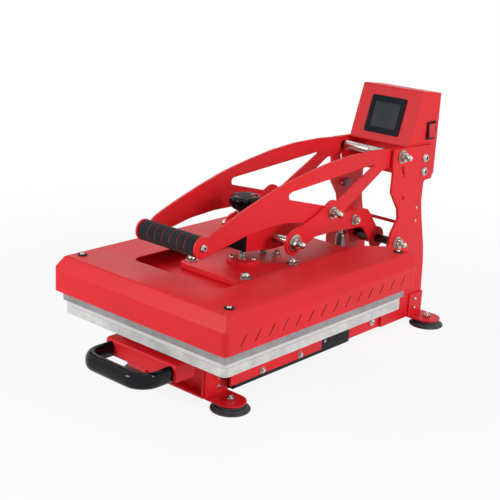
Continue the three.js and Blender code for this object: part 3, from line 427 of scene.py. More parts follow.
def turned(mould, profile, centre, axis, around=48, flats=None, wave=None, finish=0):
    """A surface of rings: P(a, h) = centre + r(a, h) (cos a U + sin a V) + h W, with W along the axis.
    r is the profile's radius; flats holds it under apothem / cos(a') for a six-sided piece, where a' is
    the angle from the nearest flat's middle; wave(a, h, r) changes it as flutes and threads need. A
    profile has both ends on the axis, with a pole at each, or neither, and then closes on itself."""
    first, second, along = axis_frame(axis)
    centre = np.asarray(centre, float)
    profile = np.asarray(profile, float)
    start_pole, end_pole = profile[0, 0] == 0, profile[-1, 0] == 0
    rows = profile[int(start_pole):len(profile) - int(end_pole)]
    angle = np.arange(around) * FULL_TURN / around
    radius = np.repeat(rows[:, :1], around, 1)
    height = np.repeat(rows[:, 1:], around, 1)
    turn = np.repeat(angle[None, :], len(rows), 0)
    if flats:
        sixth = FULL_TURN / 6
        radius = np.minimum(radius, flats / np.cos((turn % sixth) - sixth / 2))
    if wave:
        radius = wave(turn, height, radius)
    points = (centre + (radius * np.cos(turn))[..., None] * first
              + (radius * np.sin(turn))[..., None] * second
              + height[..., None] * along).reshape(-1, 3)
    poles = [centre + profile[i, 1] * along for i, wanted in ((0, start_pole), (-1, end_pole)) if wanted]
    if poles:
        points = np.concatenate([points, np.array(poles)])
    faces = ring_faces(len(rows), around, start_pole, end_pole)
    if not (start_pole and end_pole):
        last = (len(rows) - 1) * around
        wrap = np.arange(around)
        ahead = (wrap + 1) % around
        faces += np.stack([last + wrap, last + ahead, ahead, wrap], -1).tolist()
    mould.shell(points, faces, finish)


def rod(mould, centre, axis, radius, start, end, chamfer=0.6 * MM, around=48, finish=0):
    """A plain round bar with broken edges."""
    turned(mould, softened([(0, start), (radius, start), (radius, end), (0, end)], chamfer),
           centre, axis, around, finish=finish)


def tube(mould, centre, axis, bore, radius, start, end, chamfer=0.8 * MM, finish=0):
    """A ring or tube with broken outer edges."""
    turned(mould, softened([(bore, start), (radius, start), (radius, end), (bore, end)], chamfer),
           centre, axis, 60, finish=finish)


def nut(mould, centre, axis, corner, start, end, finish=0):
    """A hexagon whose corners are turned down at both ends by a cone."""
    flat = corner * math.cos(FULL_TURN / 12)
    drop = 0.55 * (corner - flat)
    profile = [(0, start), (flat, start), (corner, start + drop), (corner, end - drop), (flat, end), (0, end)]
    turned(mould, profile, centre, axis, 72, flats=flat, finish=finish)


def dome(radius, start, rise):
    """Rows of an elliptic cap: r = R cos a, h = start + rise sin a, from the rim to the pole."""
    lift = np.linspace(0, math.pi / 2, 7)
    rows = np.stack([radius * np.cos(lift), start + rise * np.sin(lift)], 1)
    rows[-1, 0] = 0
    return rows.tolist()


def fastening(mould, centre, side, radius, face, ball=True, margin=6 * MM):
    """Washer, chamfered nut and shaft end outside a plate whose face is at that distance. The end is a
    neck with a ball, r = B cos a and h = C + B sin a, or a plain dome. The margin is the washer's width
    beyond the shaft."""
    axis = (side, 0, 0)
    washer_face, nut_face = face + 2 * MM, face + 10 * MM
    rod(mould, centre, axis, radius + margin, face, washer_face, 0.5 * MM)
    nut(mould, centre, axis, radius + 3.4 * MM, washer_face, nut_face)
    inside = nut_face - 2 * MM
    if ball:
        neck, ball_radius, ball_centre = 0.5 * radius, 6.8 * MM, nut_face + 8 * MM
        swell = np.linspace(math.asin(-0.72), math.pi / 2, 12)
        bulb = np.stack([ball_radius * np.cos(swell), ball_centre + ball_radius * np.sin(swell)], 1)
        bulb[-1, 0] = 0
        profile = [(0, inside), (neck, inside), (neck, bulb[0, 1] - 0.2 * MM), *bulb.tolist()]
    else:
        tip = radius - 0.4 * MM
        profile = [(0, inside), (tip, inside), *dome(tip, nut_face, 4.8 * MM)]
    turned(mould, profile, centre, axis, 36)


def socket_screw(mould, centre, axis, radius, height, finish=0, dark=1):
    """A button head with a six-sided socket sunk in its crown; the socket's depth is a near-black hexagon,
    painted shade. Its foot is bedded a little.
    """
    bed, sink, floor = -0.5 * MM, 0.36 * radius, 0.45 * height
    head = [(0, bed), (radius, bed), (radius, 0), (radius, 0.25 * height), (0.88 * radius, 0.7 * height),
            (0.62 * radius, height), (sink, height), (sink, floor), (0, floor)]
    turned(mould, head, centre, axis, 36, finish=finish)
    # Painted shade: a near-black hexagon stands for the shaded depth of the socket.
    plug, plug_start, plug_end = 0.98 * sink, 0.4 * height, 0.55 * height
    socket = [(0, plug_start), (plug, plug_start), (plug, plug_end), (0, plug_end)]
    turned(mould, socket, centre, axis, 36, flats=0.85 * sink, finish=dark)


def acorn_nut(mould, centre, axis, corner, start, finish=0):
    """A low hexagon with a round cap."""
    inside, shoulder = start + 1 * MM, start + 4.5 * MM
    nut(mould, centre, axis, corner, start, shoulder, finish)
    cap = 0.8 * corner
    turned(mould, [(0, inside), (cap, inside), *dome(cap, shoulder, 5 * MM)], centre, axis, 40, finish=finish)


def slab(mould, centre, half_x, half_y, bottom, top, corner=14 * MM, rim=1.5 * MM):
    """A plate with a rounded rectangle as its outline, drawn in by i at both rims: P(a, h) = centre +
    (sign(cos a) (X - c) + (c - i) cos a, sign(sin a) (Y - c) + (c - i) sin a, h)."""
    around = 64
    turn = (np.arange(around) + 0.5) * FULL_TURN / around
    bevel = 0.3 * rim
    rows = []
    for inset, height in ((rim, bottom), (0, bottom + rim), (0, top - rim), (bevel, top - bevel), (rim, top)):
        x = np.sign(np.cos(turn)) * (half_x - corner) + (corner - inset) * np.cos(turn)
        y = np.sign(np.sin(turn)) * (half_y - corner) + (corner - inset) * np.sin(turn)
        rows.append(np.stack([x, y, np.full_like(turn, height)], 1) + centre)
    poles = np.array([centre + (0, 0, bottom), centre + (0, 0, top)])
    mould.shell(np.concatenate([*rows, poles]), ring_faces(len(rows), around, True, True))


# Places that come from the CAD frame

def middle(node):
    """The middle of a node's box."""
    low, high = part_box(node)
    return np.array((low + high) / 2)


def span(node, axis):
    """Where a node's box starts and ends along an axis."""
    low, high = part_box(node)
    return low[axis], high[axis]


def half_span(node, axis):
    """Half of a node's size along an axis."""
    low, high = span(node, axis)
    return (high - low) / 2


# The finishes that aren't a slot of the record, and the slot that each one stands for
STEEL_PAIR = ("bright_steel", "socket")
FINISHES = {}

# The box round the walls of the slots in the cover's right side, and the near-black painted shade they are given
SLOT_SHADE_BOX = (mm((213.5, -338.5, 176)), mm((215.7, 133.2, 196.2)))
SLOT_SHADE_COLOUR = (0.02, 0.01, 0.012)

# From the middle plane to the faces that the shafts' washers lie on, in mm
POST_FACE, ARM_FACE, BEAM_FACE = 81.6, 79.6, 30.3


def finish_for(slot):
    """The material of a slot, made once."""
    if slot in FINISHES:
        return FINISHES[slot]
    settings = bpy.context.scene.heat_press
    paint, edge = tuple(settings.paint_colour), settings.edge_radius
    plastic, platen = tuple(settings.plastic_colour), tuple(settings.platen_colour)
    makers = {
        "red_paint": lambda: powder_coat("red_powder_coat", paint, edge),
        # The cover's paint carries the painted shade in its slots.
        "cover_paint": lambda: powder_coat("cover_powder_coat", paint, edge, SLOT_SHADE_BOX),
        "rubber": lambda: soft_rubber("foot_rubber", tuple(settings.rubber_colour), 0.62, 0.35),
        "black_steel": lambda: moulded("black_coated_steel", (0.008, 0.009, 0.012), 0.36, 0.06, 0.14),
        "bright_steel": lambda: bright_metal("zinc_steel", (0.50, 0.47, 0.44), 0.2),
        "black_plastic": lambda: moulded("black_plastic", plastic, 0.36, 0.08, 0.1),
        "gloss_plastic": lambda: moulded("gloss_black_plastic", plastic, 0.1, 0.01, 0.19),
        "spring_tube": lambda: bright_metal("spring_tube_chrome", (0.21, 0.19, 0.20), 0.3),
        "dark_chrome": lambda: bright_metal("dark_chrome", (0.055, 0.05, 0.055), 0.22),
        "screen": lambda: dark_screen("screen_glass"),
        "red_plastic": lambda: moulded("red_plastic", (0.55, 0.012, 0.02), 0.22, 0.02, 0.35),
        "aluminium": lambda: cast_plate("cast_aluminium", platen, 0.35, 0.4, (10, 10, 600)),
        "heater": lambda: cast_plate("heater_aluminium", (0.33, 0.31, 0.325), 0.5, 0.42, (12, 12, 700)),
        "silicone": lambda: soft_rubber("pad_silicone", (0.66, 0.66, 0.63), 0.6, 0.0),
        "insulation": lambda: mineral_wool("wool_board"),
        "foam": lambda: closed_foam("grip_foam", tuple(settings.foam_colour)),
        "ring": lambda: moulded("grip_ring", tuple(settings.ring_colour), 0.55, 0.05),
        # Near-black: painted shade in the screw sockets, and the colour of the cover's washers and the slide
        # eyelets.
        "socket": lambda: moulded("screw_socket", (0.008, 0.008, 0.009), 0.6),
        "label_grey": lambda: moulded("switch_grey", (0.22, 0.20, 0.24), 0.45),
        "bezel": lambda: moulded("screen_bezel", (0.006, 0.009, 0.014), 0.3, 0.03, 0.06),
    }
    FINISHES[slot] = makers[slot]()
    return FINISHES[slot]


class HEAT_PRESS_OT_finishes(bpy.types.Operator):
    """Give every CAD node the finish of its record slot"""

    bl_idname = "heat_press.finishes"
    bl_label = "Finishes"

    def execute(self, context):
        slots = {part["node"]: part["material_slot"] for part in frame["record"]["subparts"]}
        slots["cover"] = "cover_paint"
        slots["heating_platen"] = "heater"
        slots["screen_bezel"] = "bezel"
        for node, made in frame["nodes"].items():
            material = finish_for(slots[node])
            if not made.material_slots:
                made.data.materials.append(material)
            for place in made.material_slots:
                place.material = material
        return {"FINISHED"}


class HEAT_PRESS_OT_shafts(bpy.types.Operator):
    """Turn the shafts, pins and their fastenings"""

    bl_idname = "heat_press.shafts"
    bl_label = "Shafts"

    def execute(self, context):
        self.shaft("main_hinge_shaft", "base", 8, POST_FACE, "dark_chrome", (8.7, BEAM_FACE, 75.8))
        self.shaft("top_pivot_shaft", "base", 8, POST_FACE, "dark_chrome", (9.6, 0, 62), sleeve=0)
        self.shaft("lift_shaft", "press_head", 8.5, ARM_FACE, "bright_steel", margin=8.5)
        self.shaft("spring_shaft", "press_head", 5, BEAM_FACE, "bright_steel", ball=False)
        radius, start, face = mm((6, 74.3, ARM_FACE))
        for word, side in SIDES.items():
            mould = Mould()
            centre = middle(word + "_knee_pin") * (0, 1, 1)
            rod(mould, centre, (side, 0, 0), radius, start, face)
            fastening(mould, centre, side, radius, face)
            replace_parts(mould.piece(word + "_knee_pin_turned", STEEL_PAIR, "links"), word + "_knee_pin")
        return {"FINISHED"}

    def shaft(self, node, body, radius, face, core, collar=None, ball=True, margin=6, sleeve=1):
        """A shaft with a fastening at each end and, where one is given, a collar on each half: its radius,
        start and end. Sizes in mm. The collar's material is 0 for bright steel or 1 for the core's."""
        mould = Mould()
        centre = middle(node)
        radius, face, margin = mm((radius, face, margin))
        rod(mould, centre, X_AXIS, radius, -face, face, finish=1)
        for side in SIDES.values():
            fastening(mould, centre, side, radius, face, ball, margin)
            if collar:
                rod(mould, centre, (side, 0, 0), *mm(collar), 0.8 * MM, finish=sleeve)
        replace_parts(mould.piece(node + "_turned", ("bright_steel", core), body), node)


class HEAT_PRESS_OT_gas_spring(bpy.types.Operator):
    """Turn the gas spring: its tube, rod and eyes"""

    bl_idname = "heat_press.gas_spring"
    bl_label = "Gas spring"

    def execute(self, context):
        """Both halves lie on the line from the anchor's bolt to the spring shaft. Heights count along it."""
        lower_bore, lower_eye, upper_bore, upper_eye = mm((4.3, 9, 8.9, 12.5))
        stem_radius, eye_half = mm((4, 4))
        foot = np.array((0, middle("spring_anchor")[1], span("spring_anchor", 2)[1] - lower_eye))
        seat = middle("spring_shaft") * (0, 1, 1)
        run = seat - foot
        length = np.linalg.norm(run)
        shape = mm([(0, 12), (5, 12), (5, 14), (10, 14), (10, 171), (8.4, 174), (0, 174)])
        barrel = Mould()
        turned(barrel, softened(shape, 1 * MM), foot, run, 48)
        rod(barrel, foot, run, stem_radius, 0, 14.2 * MM)
        tube(barrel, foot, X_AXIS, lower_bore, lower_eye, -eye_half, eye_half)
        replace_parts(barrel.piece("spring_tube_turned", ("spring_tube",), "spring_tubes"), "spring_tube")
        stem = Mould()
        rod(stem, foot, run, stem_radius, 84 * MM, length - 9.4 * MM)
        tube(stem, seat, X_AXIS, upper_bore, upper_eye, -eye_half, eye_half)
        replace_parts(stem.piece("spring_rod_turned", STEEL_PAIR, "spring_rods"), "spring_rod")
        return {"FINISHED"}


class HEAT_PRESS_OT_grip(bpy.types.Operator):
    """Make the grip's foam sleeve with its rings, and the rod with its button heads"""

    bl_idname = "heat_press.grip"
    bl_label = "Grip"

    def execute(self, context):
        """The sleeve: r(h) = R - g exp(-(d / w)^2) - e (1 - sqrt(1 - u^2)), where d is the distance to the
        nearest ring and u goes from 0 to 1 over the last e of each end."""
        settings = context.scene.heat_press
        centre = middle("foam_grip")
        half_length, radius = half_span("foam_grip", 0), half_span("foam_grip", 2)
        count, width = settings.ring_count, settings.ring_width
        places = (np.arange(count) - (count - 1) / 2) * settings.ring_pitch
        groove, rounding = 1.2 * MM, 4.5 * MM
        rows = np.linspace(-half_length, half_length, 240)
        nearest = np.abs(rows[:, None] - places[None, :]).min(1)
        end = np.clip((np.abs(rows) - half_length + rounding) / rounding, 0, 1)
        belly = radius - groove * np.exp(-(nearest / width) ** 2) - rounding * (1 - np.sqrt(1 - end ** 2))
        profile = [(0, -half_length), *np.stack([belly, rows], 1).tolist(), (0, half_length)]
        sleeve, rings, bar = Mould(), Mould(), Mould()
        turned(sleeve, profile, centre, X_AXIS, 72)
        foam = sleeve.piece("grip_foam_sleeve", ("foam",), "handle")
        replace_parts(foam, "foam_grip")
        ring_radius, half_width = radius - 0.5 * groove, width / 2
        for place in places:
            rod(rings, centre, X_AXIS, ring_radius, place - half_width, place + half_width, 0.5 * MM, 72)
        rings.piece("grip_rings", ("ring",), "handle")
        rod_centre = middle("grip_rod")
        rod_radius, rod_half, head_foot, head_radius, head_height = mm((6, 74.2, 74.6, 7.2, 4.6))
        rod(bar, rod_centre, X_AXIS, rod_radius, -rod_half, rod_half)
        for side in SIDES.values():
            head = rod_centre + (side * head_foot, 0, 0)
            socket_screw(bar, head, (side, 0, 0), head_radius, head_height)
        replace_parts(bar.piece("grip_rod_turned", STEEL_PAIR, "handle"), "grip_rod")
        return {"FINISHED"}


class HEAT_PRESS_OT_knob(bpy.types.Operator):
    """Make the pressure knob, its threaded screw and the bush"""

    bl_idname = "heat_press.knob"
    bl_label = "Pressure knob"

    def execute(self, context):
        settings = context.scene.heat_press
        self.handwheel(settings.flute_count, settings.flute_depth)
        self.screw(settings.thread_pitch)
        self.bush()
        return {"FINISHED"}

    def handwheel(self, count, depth):
        """r(a, h) = R(h) - d(h) (0.5 + 0.5 cos na)^6, so that n narrow flutes fade out at both ends."""
        low, box_top = span("pressure_knob", 2)
        centre = middle("pressure_knob") * (1, 1, 0)
        head, high = low + 20 * MM, box_top - 7 * MM
        stem = mm([(0, 0), (13, 0), (13, 20), (22, 20), (30, 28)]) + (0, low)
        crown = mm([(30, -5), (25, -0.4), (20, 0), (15, -1.8), (0, -2)]) + (0, high)
        lower_fade, upper_fade, inner = mm((6, 5, 20))

        def flutes(turn, height, radius):
            rise = np.clip((height - head) / lower_fade, 0, 1) * np.clip((high - height) / upper_fade, 0, 1)
            return radius - depth * rise * (radius > inner) * (0.5 + 0.5 * np.cos(count * turn)) ** 6

        mould = Mould()
        outline = softened(np.concatenate([stem, crown]), 2.5 * MM, 5)
        turned(mould, outline, centre, Z_AXIS, 16 * count, wave=flutes)
        rod(mould, centre, Z_AXIS, 11 * MM, high - 3 * MM, high - 1.2 * MM, finish=1)
        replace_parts(mould.piece("pressure_knob_moulded", ("gloss_plastic", "black_plastic"), "pressure_screw"),
                    "pressure_knob")

    def screw(self, pitch):
        """r(a, h) = R - t |2 frac(h / p - a / 2 pi) - 1|, a triangular thread that climbs by p a turn."""
        low, high = span("pressure_screw", 2)
        centre = middle("pressure_screw") * (1, 1, 0)
        core, crest, depth = 5 * MM, 6 * MM, 1 * MM
        heights = np.linspace(low + 1 * MM, high, int((high - low) / pitch * 6))
        profile = [(0, low), (core, low), *[(crest, height) for height in heights], (0, high)]

        def thread(turn, height, radius):
            share = (height / pitch - turn / FULL_TURN) % 1
            return radius - depth * np.abs(2 * share - 1) * (radius > core)

        mould = Mould()
        turned(mould, profile, centre, Z_AXIS, 24, wave=thread)
        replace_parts(mould.piece("pressure_screw_threaded", STEEL_PAIR, "pressure_screw"), "pressure_screw")

    def bush(self):
        """A barrel with a collar on top, turned round its bore."""
        low, high = span("threaded_bush", 2)
        centre = middle("threaded_bush") * (1, 1, 0)
        bore, barrel, wide = mm((6.3, 13, 18))
        collar = high - 4 * MM
        profile = [(bore, low), (barrel, low), (barrel, collar), (wide, collar), (wide, high), (bore, high)]
        mould = Mould()
        turned(mould, softened(profile, 0.8 * MM), centre, Z_AXIS, 60)
        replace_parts(mould.piece("threaded_bush_turned", STEEL_PAIR, "press_head"), "threaded_bush")


class HEAT_PRESS_OT_plate(bpy.types.Operator):
    """Make the backing plate with its thrust flange and bolts"""

    bl_idname = "heat_press.plate"
    bl_label = "Backing plate"

    def execute(self, context):
        """From the bottom: a slab, the flange with its hub and two screws, four cap nuts and two studs."""
        centre = middle("backing_plate") * (1, 1, 0)
        half_x, half_y = half_span("backing_plate", 0) - 7 * MM, half_span("backing_plate", 1)
        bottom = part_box("backing_plate")[0][2]
        top = bottom + 13 * MM
        flange, hub = top + 8 * MM, top + 11 * MM
        bore, flange_radius, hub_radius, screw_circle = mm((6.3, 31, 8.4, 22))
        mould = Mould()
        slab(mould, centre, half_x, half_y, bottom, top)
        tube(mould, centre, Z_AXIS, bore, flange_radius, top - 1 * MM, flange, 1.4 * MM)
        tube(mould, centre, Z_AXIS, bore, hub_radius, flange - 1 * MM, hub, 1 * MM, 1)
        for degrees in (27, 207):
            turn = math.radians(degrees)
            place = centre + (screw_circle * math.cos(turn), screw_circle * math.sin(turn), flange)
            socket_screw(mould, place, Z_AXIS, 4.4 * MM, 3 * MM, 1, 2)
        washer_bed, washer_face, nut_bed = top - 0.5 * MM, top + 1.6 * MM, top + 1.5 * MM
        for side in SIDES.values():
            for along in (66, -66.5):
                place = centre + mm((side * 68, along, 0))
                rod(mould, place, Z_AXIS, 11.6 * MM, washer_bed, washer_face, finish=1)
                acorn_nut(mould, place, Z_AXIS, 9.6 * MM, nut_bed, 1)
            place = centre + mm((side * 18, 79, 0))
            rod(mould, place, Z_AXIS, 9 * MM, washer_bed, washer_face, finish=1)
            nut(mould, place, Z_AXIS, 8 * MM, nut_bed, top + 8 * MM, 1)
            rod(mould, place, Z_AXIS, 4.6 * MM, top + 7 * MM, top + 13 * MM, 0.8 * MM, finish=1)
        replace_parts(mould.piece("backing_plate_dressed", ("red_paint", *STEEL_PAIR), "heating_head"),
                    "backing_plate")
        return {"FINISHED"}


class HEAT_PRESS_OT_feet(bpy.types.Operator):
    """Make the suction feet with their studs and nuts"""

    bl_idname = "heat_press.feet"
    bl_label = "Feet"

    def execute(self, context):
        """A suction cup: a hollowed sole, a thin lip, a stepped waist and a flat crown, turned round the stud.
        Heights count from the floor."""
        cup_rows = mm([(0, 3), (20, 2.6), (33, 0.1), (36.6, 0), (37, 1.6), (35.4, 3.6), (31.5, 5.4),
                       (30.5, 7.2), (26, 9), (25, 11), (20.4, 12), (20, 13.6), (0, 13.6)])
        for node in [f"{end}_{word}_foot" for end in ENDS for word in SIDES]:
            centre = middle(node) * (1, 1, 0)
            cup, stud = Mould(), Mould()
            turned(cup, softened(cup_rows, 0.8 * MM), centre, Z_AXIS, 72)
            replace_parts(cup.piece(node + "_cup", ("rubber",), "base"), node)
            rod(stud, centre, Z_AXIS, 3.9 * MM, 13 * MM, 27.2 * MM, 0.8 * MM)
            nut(stud, centre, Z_AXIS, 8 * MM, 17.4 * MM, 23.2 * MM)
            stud.piece(node + "_stud", STEEL_PAIR, "base")
        return {"FINISHED"}


class HEAT_PRESS_OT_pull(bpy.types.Operator):
    """Sweep the drawer pull as one smooth bar"""

    bl_idname = "heat_press.pull"
    bl_label = "Drawer pull"

    def execute(self, context):
        """P(s, a) = route(s) + A(s) c(a) N(s) + B d(a) Z, where N is level and square to the route, c and d
        are cos and sin to the power 0.85, and A grows from the legs to the bar with the square of the route's
        crosswise share. The route is a leg, a quarter circle, the bar, a quarter circle and a leg."""
        low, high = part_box("drawer_pull")
        leg_half, bar_half, tall = mm((7.5, 13, 15))
        bend, around = 33 * MM, 56
        level = (low[2] + high[2]) / 2 + 1.5 * MM
        spread = (high[0] - low[0]) / 2 - leg_half
        reach = high[1] - low[1] - bar_half
        quarter = np.linspace(0, math.pi / 2, 25)
        leg = np.linspace(0, reach - bend, 6)[:-1]
        bend_x, bend_y = spread - bend, low[1] + bar_half + bend
        side = np.concatenate([
            np.stack([np.full_like(leg, spread), high[1] - leg], 1),
            np.stack([bend_x + bend * np.cos(quarter), bend_y - bend * np.sin(quarter)], 1)])
        route = np.concatenate([side, (side * (-1, 1))[::-1]])
        step = np.gradient(route, axis=0)
        step /= np.linalg.norm(step, axis=1)[:, None]
        normal = np.stack([-step[:, 1], step[:, 0]], 1)
        width = leg_half + (bar_half - leg_half) * step[:, 0] ** 2
        angle = np.arange(around) * FULL_TURN / around
        squared = [np.sign(wave) * np.abs(wave) ** 0.85 for wave in (np.cos(angle), np.sin(angle))]
        flat = route[:, None, :] + (width[:, None] * squared[0][None, :])[..., None] * normal[:, None, :]
        height = np.repeat((level + tall * squared[1])[None, :], len(route), 0)
        points = np.concatenate([flat, height[..., None]], 2).reshape(-1, 3)
        poles = np.array([(*route[0], level), (*route[-1], level)])
        mould = Mould()
        mould.shell(np.concatenate([points, poles]), ring_faces(len(route), around, True, True))
        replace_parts(mould.piece("drawer_pull_moulded", ("gloss_plastic",), "drawer"), "drawer_pull")
        return {"FINISHED"}


class HEAT_PRESS_OT_post_ties(bpy.types.Operator):
    """Make the tie rod between the posts, and the small switch inside the left post"""

    bl_idname = "heat_press.post_ties"
    bl_label = "Post ties"

    def execute(self, context):
        """The rod lies in the lower part of the brace's box, with a wider end against each post."""
        tie, switch = Mould(), Mould()
        low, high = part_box("post_brace")
        centre = np.array((0, (low[1] + high[1]) / 2, low[2] + 7 * MM))
        rod(tie, centre, X_AXIS, 3.5 * MM, low[0], high[0])
        for side in SIDES.values():
            rod(tie, centre, (side, 0, 0), 6.5 * MM, high[0] - 9 * MM, high[0])
        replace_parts(tie.piece("post_tie_rod", ("red_paint",), "base"), "post_brace")
        half_x, half_y, bottom, top, corner, rim = mm((5, 9, 288.5, 303, 2, 1))
        place = np.array((span("left_post", 0)[1] + 5.2 * MM, 314.6 * MM, 0))
        slab(switch, place, half_x, half_y, bottom, top, corner, rim)
        switch.piece("lever_switch", ("label_grey",), "base")
        return {"FINISHED"}


class HEAT_PRESS_OT_screws(bpy.types.Operator):
    """Set the small screws in the cover, posts, brackets, rails and drawer"""

    bl_idname = "heat_press.screws"
    bl_label = "Small screws"

    def execute(self, context):
        self.cover()
        self.frame()
        self.drawer()
        return {"FINISHED"}

    def cover(self):
        """A screw on a dark washer near each corner of the cover's top."""
        top, washer = span("cover", 2)[1], 2 * MM
        mould = Mould()
        for x in mm((-183, 183)):
            for y in mm((-332.7, 149.7)):
                rod(mould, (x, y, top), Z_AXIS, 9 * MM, -0.6 * MM, washer, 0.7 * MM, finish=1)
                socket_screw(mould, (x, y, top + washer), Z_AXIS, 4.4 * MM, 2.6 * MM)
        mould.piece("cover_screws", STEEL_PAIR, "heating_head")

    def frame(self):
        """Rows of face, y, z and radius: posts, rear foot brackets and rails, with y, z and radius in mm. The
        slides pass close outside the front brackets, so the screws there are flush."""
        post, rail = span("right_post", 0)[1], span("right_side_rail", 0)[1]
        rear_bracket, rail_washer = post + 3.3 * MM, rail + 1.5 * MM
        rows = [(post, 376.2, 370, 9.8), (post, 376.2, 341, 9.8), (post, 362.2, 264, 3.6),
                (post, 362.2, 235, 3.6), (rear_bracket, 389.2, 52, 4.4), (rear_bracket, 389.2, 31, 4.4),
                (rail_washer, 240.2, 32.8, 6.8)]
        flush = span("right_slide_middle", 0)[0] - 0.5 * MM
        mould = Mould()
        for side in SIDES.values():
            axis = (side, 0, 0)
            for x, y, z, radius in rows:
                socket_screw(mould, (side * x, y * MM, z * MM), axis, radius * MM, 0.62 * radius * MM)
            for z in mm((47, 28)):
                socket_screw(mould, (side * flush, -233.8 * MM, z), axis, 4.4 * MM, 0.4 * MM)
            rod(mould, (side * rail, 240.2 * MM, 32.8 * MM), axis, 9 * MM, 0, 1.6 * MM, 0.5 * MM)
        mould.piece("frame_screws", STEEL_PAIR, "base")

    def drawer(self):
        """Bolts in the side plates, and a small screw and eyelets near the rear end of the slides."""
        plate, slide = span("right_drawer_plate", 0)[1], span("right_slide_inner", 0)[1]
        tip_radius, tip_start, tip_shoulder, tip_rise = mm((3.4, 3, 5.4, 1.8))
        tip = [(0, tip_start), (tip_radius, tip_start), *dome(tip_radius, tip_shoulder, tip_rise)]
        eyelet = mm((1.9, 3.4, -0.4, 0.5, 0.3))
        mould, holes = Mould(), Mould()
        for side in SIDES.values():
            axis = (side, 0, 0)
            for y in mm((-141, -31)):
                centre = (side * plate, y, 41 * MM)
                rod(mould, centre, axis, 7 * MM, 0, 1.2 * MM, 0.4 * MM)
                nut(mould, centre, axis, 5.8 * MM, 1 * MM, 4.6 * MM)
                turned(mould, tip, centre, axis, 30)
            socket_screw(mould, (side * slide, 53 * MM, 45 * MM), axis, 3.2 * MM, 1.8 * MM)
            for y in mm((67.5, 90.5, 110)):
                tube(holes, (side * slide, y, 45.5 * MM), axis, *eyelet)
        mould.piece("drawer_screws", STEEL_PAIR, "drawer")
        holes.piece("slide_eyelets", ("socket",), "drawer")


class HEAT_PRESS_OT_slot_shade_boards(bpy.types.Operator):
    """Stand near-black boards along the insulation, behind the cover's slots: painted shade for the view through
    them
    """

    bl_idname = "heat_press.edge_shields"
    bl_label = "Slot shade boards"

    def execute(self, context):
        # Painted shade: near-black boards darken what shows through the cover's slots.
        mould = Mould()
        low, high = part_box("insulation")
        half_x, gap, corner, rim = mm((1, 1, 1, 0.3))
        place = span("heating_platen", 0)[1] + 3 * MM
        for side in SIDES.values():
            centre = np.array((side * place, (low[1] + high[1]) / 2, 0))
            slab(mould, centre, half_x, (high[1] - low[1]) / 2, low[2] + gap, high[2] - gap, corner, rim)
        mould.piece("slot_shade_boards", ("insulation",), "heating_head")
        return {"FINISHED"}


class HEAT_PRESS_OT_inlet_pins(bpy.types.Operator):
    """Add the three pins of the power inlet"""

    bl_idname = "heat_press.inlet_pins"
    bl_label = "Inlet pins"

    def execute(self, context):
        mould = Mould()
        start = span("power_inlet", 1)[1] - 2.6 * MM
        centre = middle("power_inlet")
        for x, z in mm([(-7, -2), (0, 3), (7, -2)]):
            place = (centre[0] + x, start, centre[2] + z)
            rod(mould, place, Y_AXIS, 1.3 * MM, 0, 2.2 * MM, 0.3 * MM, 20)
        mould.piece("inlet_pins", STEEL_PAIR, "base")
        return {"FINISHED"}


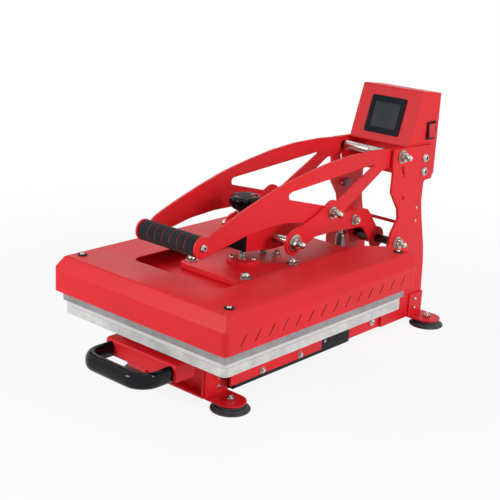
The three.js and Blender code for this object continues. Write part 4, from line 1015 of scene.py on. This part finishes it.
class HEAT_PRESS_OT_stage(bpy.types.Operator):
    """Set the floor, the lamps, the world and the camera"""

    bl_idname = "heat_press.stage"
    bl_label = "Stage"

    def execute(self, context):
        self.floor()
        self.world(context.scene)
        self.lamps(context.scene)
        self.camera(context.scene)
        context.scene.view_settings.view_transform = "Standard"
        return {"FINISHED"}

    def floor(self):
        """A level sheet on a square grid, P(u, v) = (u, v, 0). It turns to plain white away from the press."""
        steps = np.linspace(-FLOOR_REACH, FLOOR_REACH, 5)
        u, v = np.meshgrid(steps, steps)
        points = np.stack([u, v, np.zeros_like(u)], 2).reshape(-1, 3)
        count = len(steps)
        corner = (np.arange(count - 1)[:, None] * count + np.arange(count - 1)).reshape(-1)
        faces = np.stack([corner, corner + 1, corner + count + 1, corner + count], 1)
        mesh = bpy.data.meshes.new("pale_floor")
        mesh.from_pydata(points.tolist(), [], faces.tolist())
        made = bpy.data.objects.new("pale_floor", mesh)
        bpy.context.scene.collection.objects.link(made)
        finish = Finish("pale_floor")
        grain = finish.noise(3, 3)
        finish.set(Base_Color=finish.mix(grain, (0.92, 0.92, 0.92), (0.95, 0.95, 0.95)), Roughness=0.9)
        distance = finish.node("ShaderNodeVectorMath", {"operation": "LENGTH"}, {0: finish.place}, "Value")
        share = finish.seen() * finish.between(distance, *FLOOR_FADE, FLOOR_GLOW, 1)
        glow = finish.node("ShaderNodeEmission", None, {"Color": (1, 1, 1), "Strength": 1.0})
        surface = Term(finish, finish.shader.outputs[0])
        shown = finish.node("ShaderNodeMixShader", None, {0: share, 1: surface, 2: glow})
        finish.feed(finish.tree.nodes["Material Output"].inputs["Surface"], shown)
        mesh.materials.append(finish.material)

    def world(self, scene):
        world = bpy.data.worlds.new("studio")
        world.use_nodes = True
        graph = Graph(world.node_tree)
        back = world.node_tree.nodes["Background"]
        graph.feed(back.inputs["Color"], (1, 1, 1))
        graph.feed(back.inputs["Strength"], graph.seen() * (1 - WORLD_DIFFUSE) + WORLD_DIFFUSE)
        scene.world = world

    def lamps(self, scene):
        target = middle("press_beam")
        for name, (place, size, power) in LAMPS.items():
            lamp = bpy.data.lights.new(name, "AREA")
            lamp.energy = power
            lamp.size = size
            made = bpy.data.objects.new(name, lamp)
            made.location = place
            made.rotation_euler = (Vector(target) - Vector(place)).to_track_quat("-Z", "Y").to_euler()
            scene.collection.objects.link(made)

    def camera(self, scene):
        data = bpy.data.cameras.new("photo_view")
        data.lens = CAMERA_LENS
        data.sensor_width = SENSOR_WIDTH
        made = bpy.data.objects.new("photo_view", data)
        basis = Matrix((CAMERA_RIGHT, CAMERA_UP, tuple(-v for v in CAMERA_FORWARD))).transposed()
        made.matrix_world = Matrix.Translation(CAMERA_PLACE) @ basis.to_4x4()
        scene.collection.objects.link(made)
        scene.camera = made


OPERATORS = (
    HEAT_PRESS_OT_stage,
    HEAT_PRESS_OT_finishes,
    HEAT_PRESS_OT_shafts,
    HEAT_PRESS_OT_gas_spring,
    HEAT_PRESS_OT_grip,
    HEAT_PRESS_OT_knob,
    HEAT_PRESS_OT_plate,
    HEAT_PRESS_OT_feet,
    HEAT_PRESS_OT_pull,
    HEAT_PRESS_OT_post_ties,
    HEAT_PRESS_OT_screws,
    HEAT_PRESS_OT_slot_shade_boards,
    HEAT_PRESS_OT_inlet_pins,
)


class HEAT_PRESS_PT_sidebar(bpy.types.Panel):
    """Lists the settings and the steps that dress the press"""

    bl_idname = "HEAT_PRESS_PT_sidebar"
    bl_label = "Heat press"
    bl_space_type = "VIEW_3D"
    bl_region_type = "UI"
    bl_category = "Heat press"

    def draw(self, context):
        settings = context.scene.heat_press
        for name in PressSettings.__annotations__:
            self.layout.prop(settings, name)
        for operator in OPERATORS:
            self.layout.operator(operator.bl_idname)


CLASSES = (PressSettings, *OPERATORS, HEAT_PRESS_PT_sidebar)


def register():
    for entry in CLASSES:
        bpy.utils.register_class(entry)
    bpy.types.Scene.heat_press = bpy.props.PointerProperty(type=PressSettings)


def unregister():
    del bpy.types.Scene.heat_press
    for entry in reversed(CLASSES):
        bpy.utils.unregister_class(entry)


def main():
    register()
    for operator in OPERATORS:
        group, name = operator.bl_idname.split(".")
        getattr(getattr(bpy.ops, group), name)()


if __name__ == "__main__":
    main()
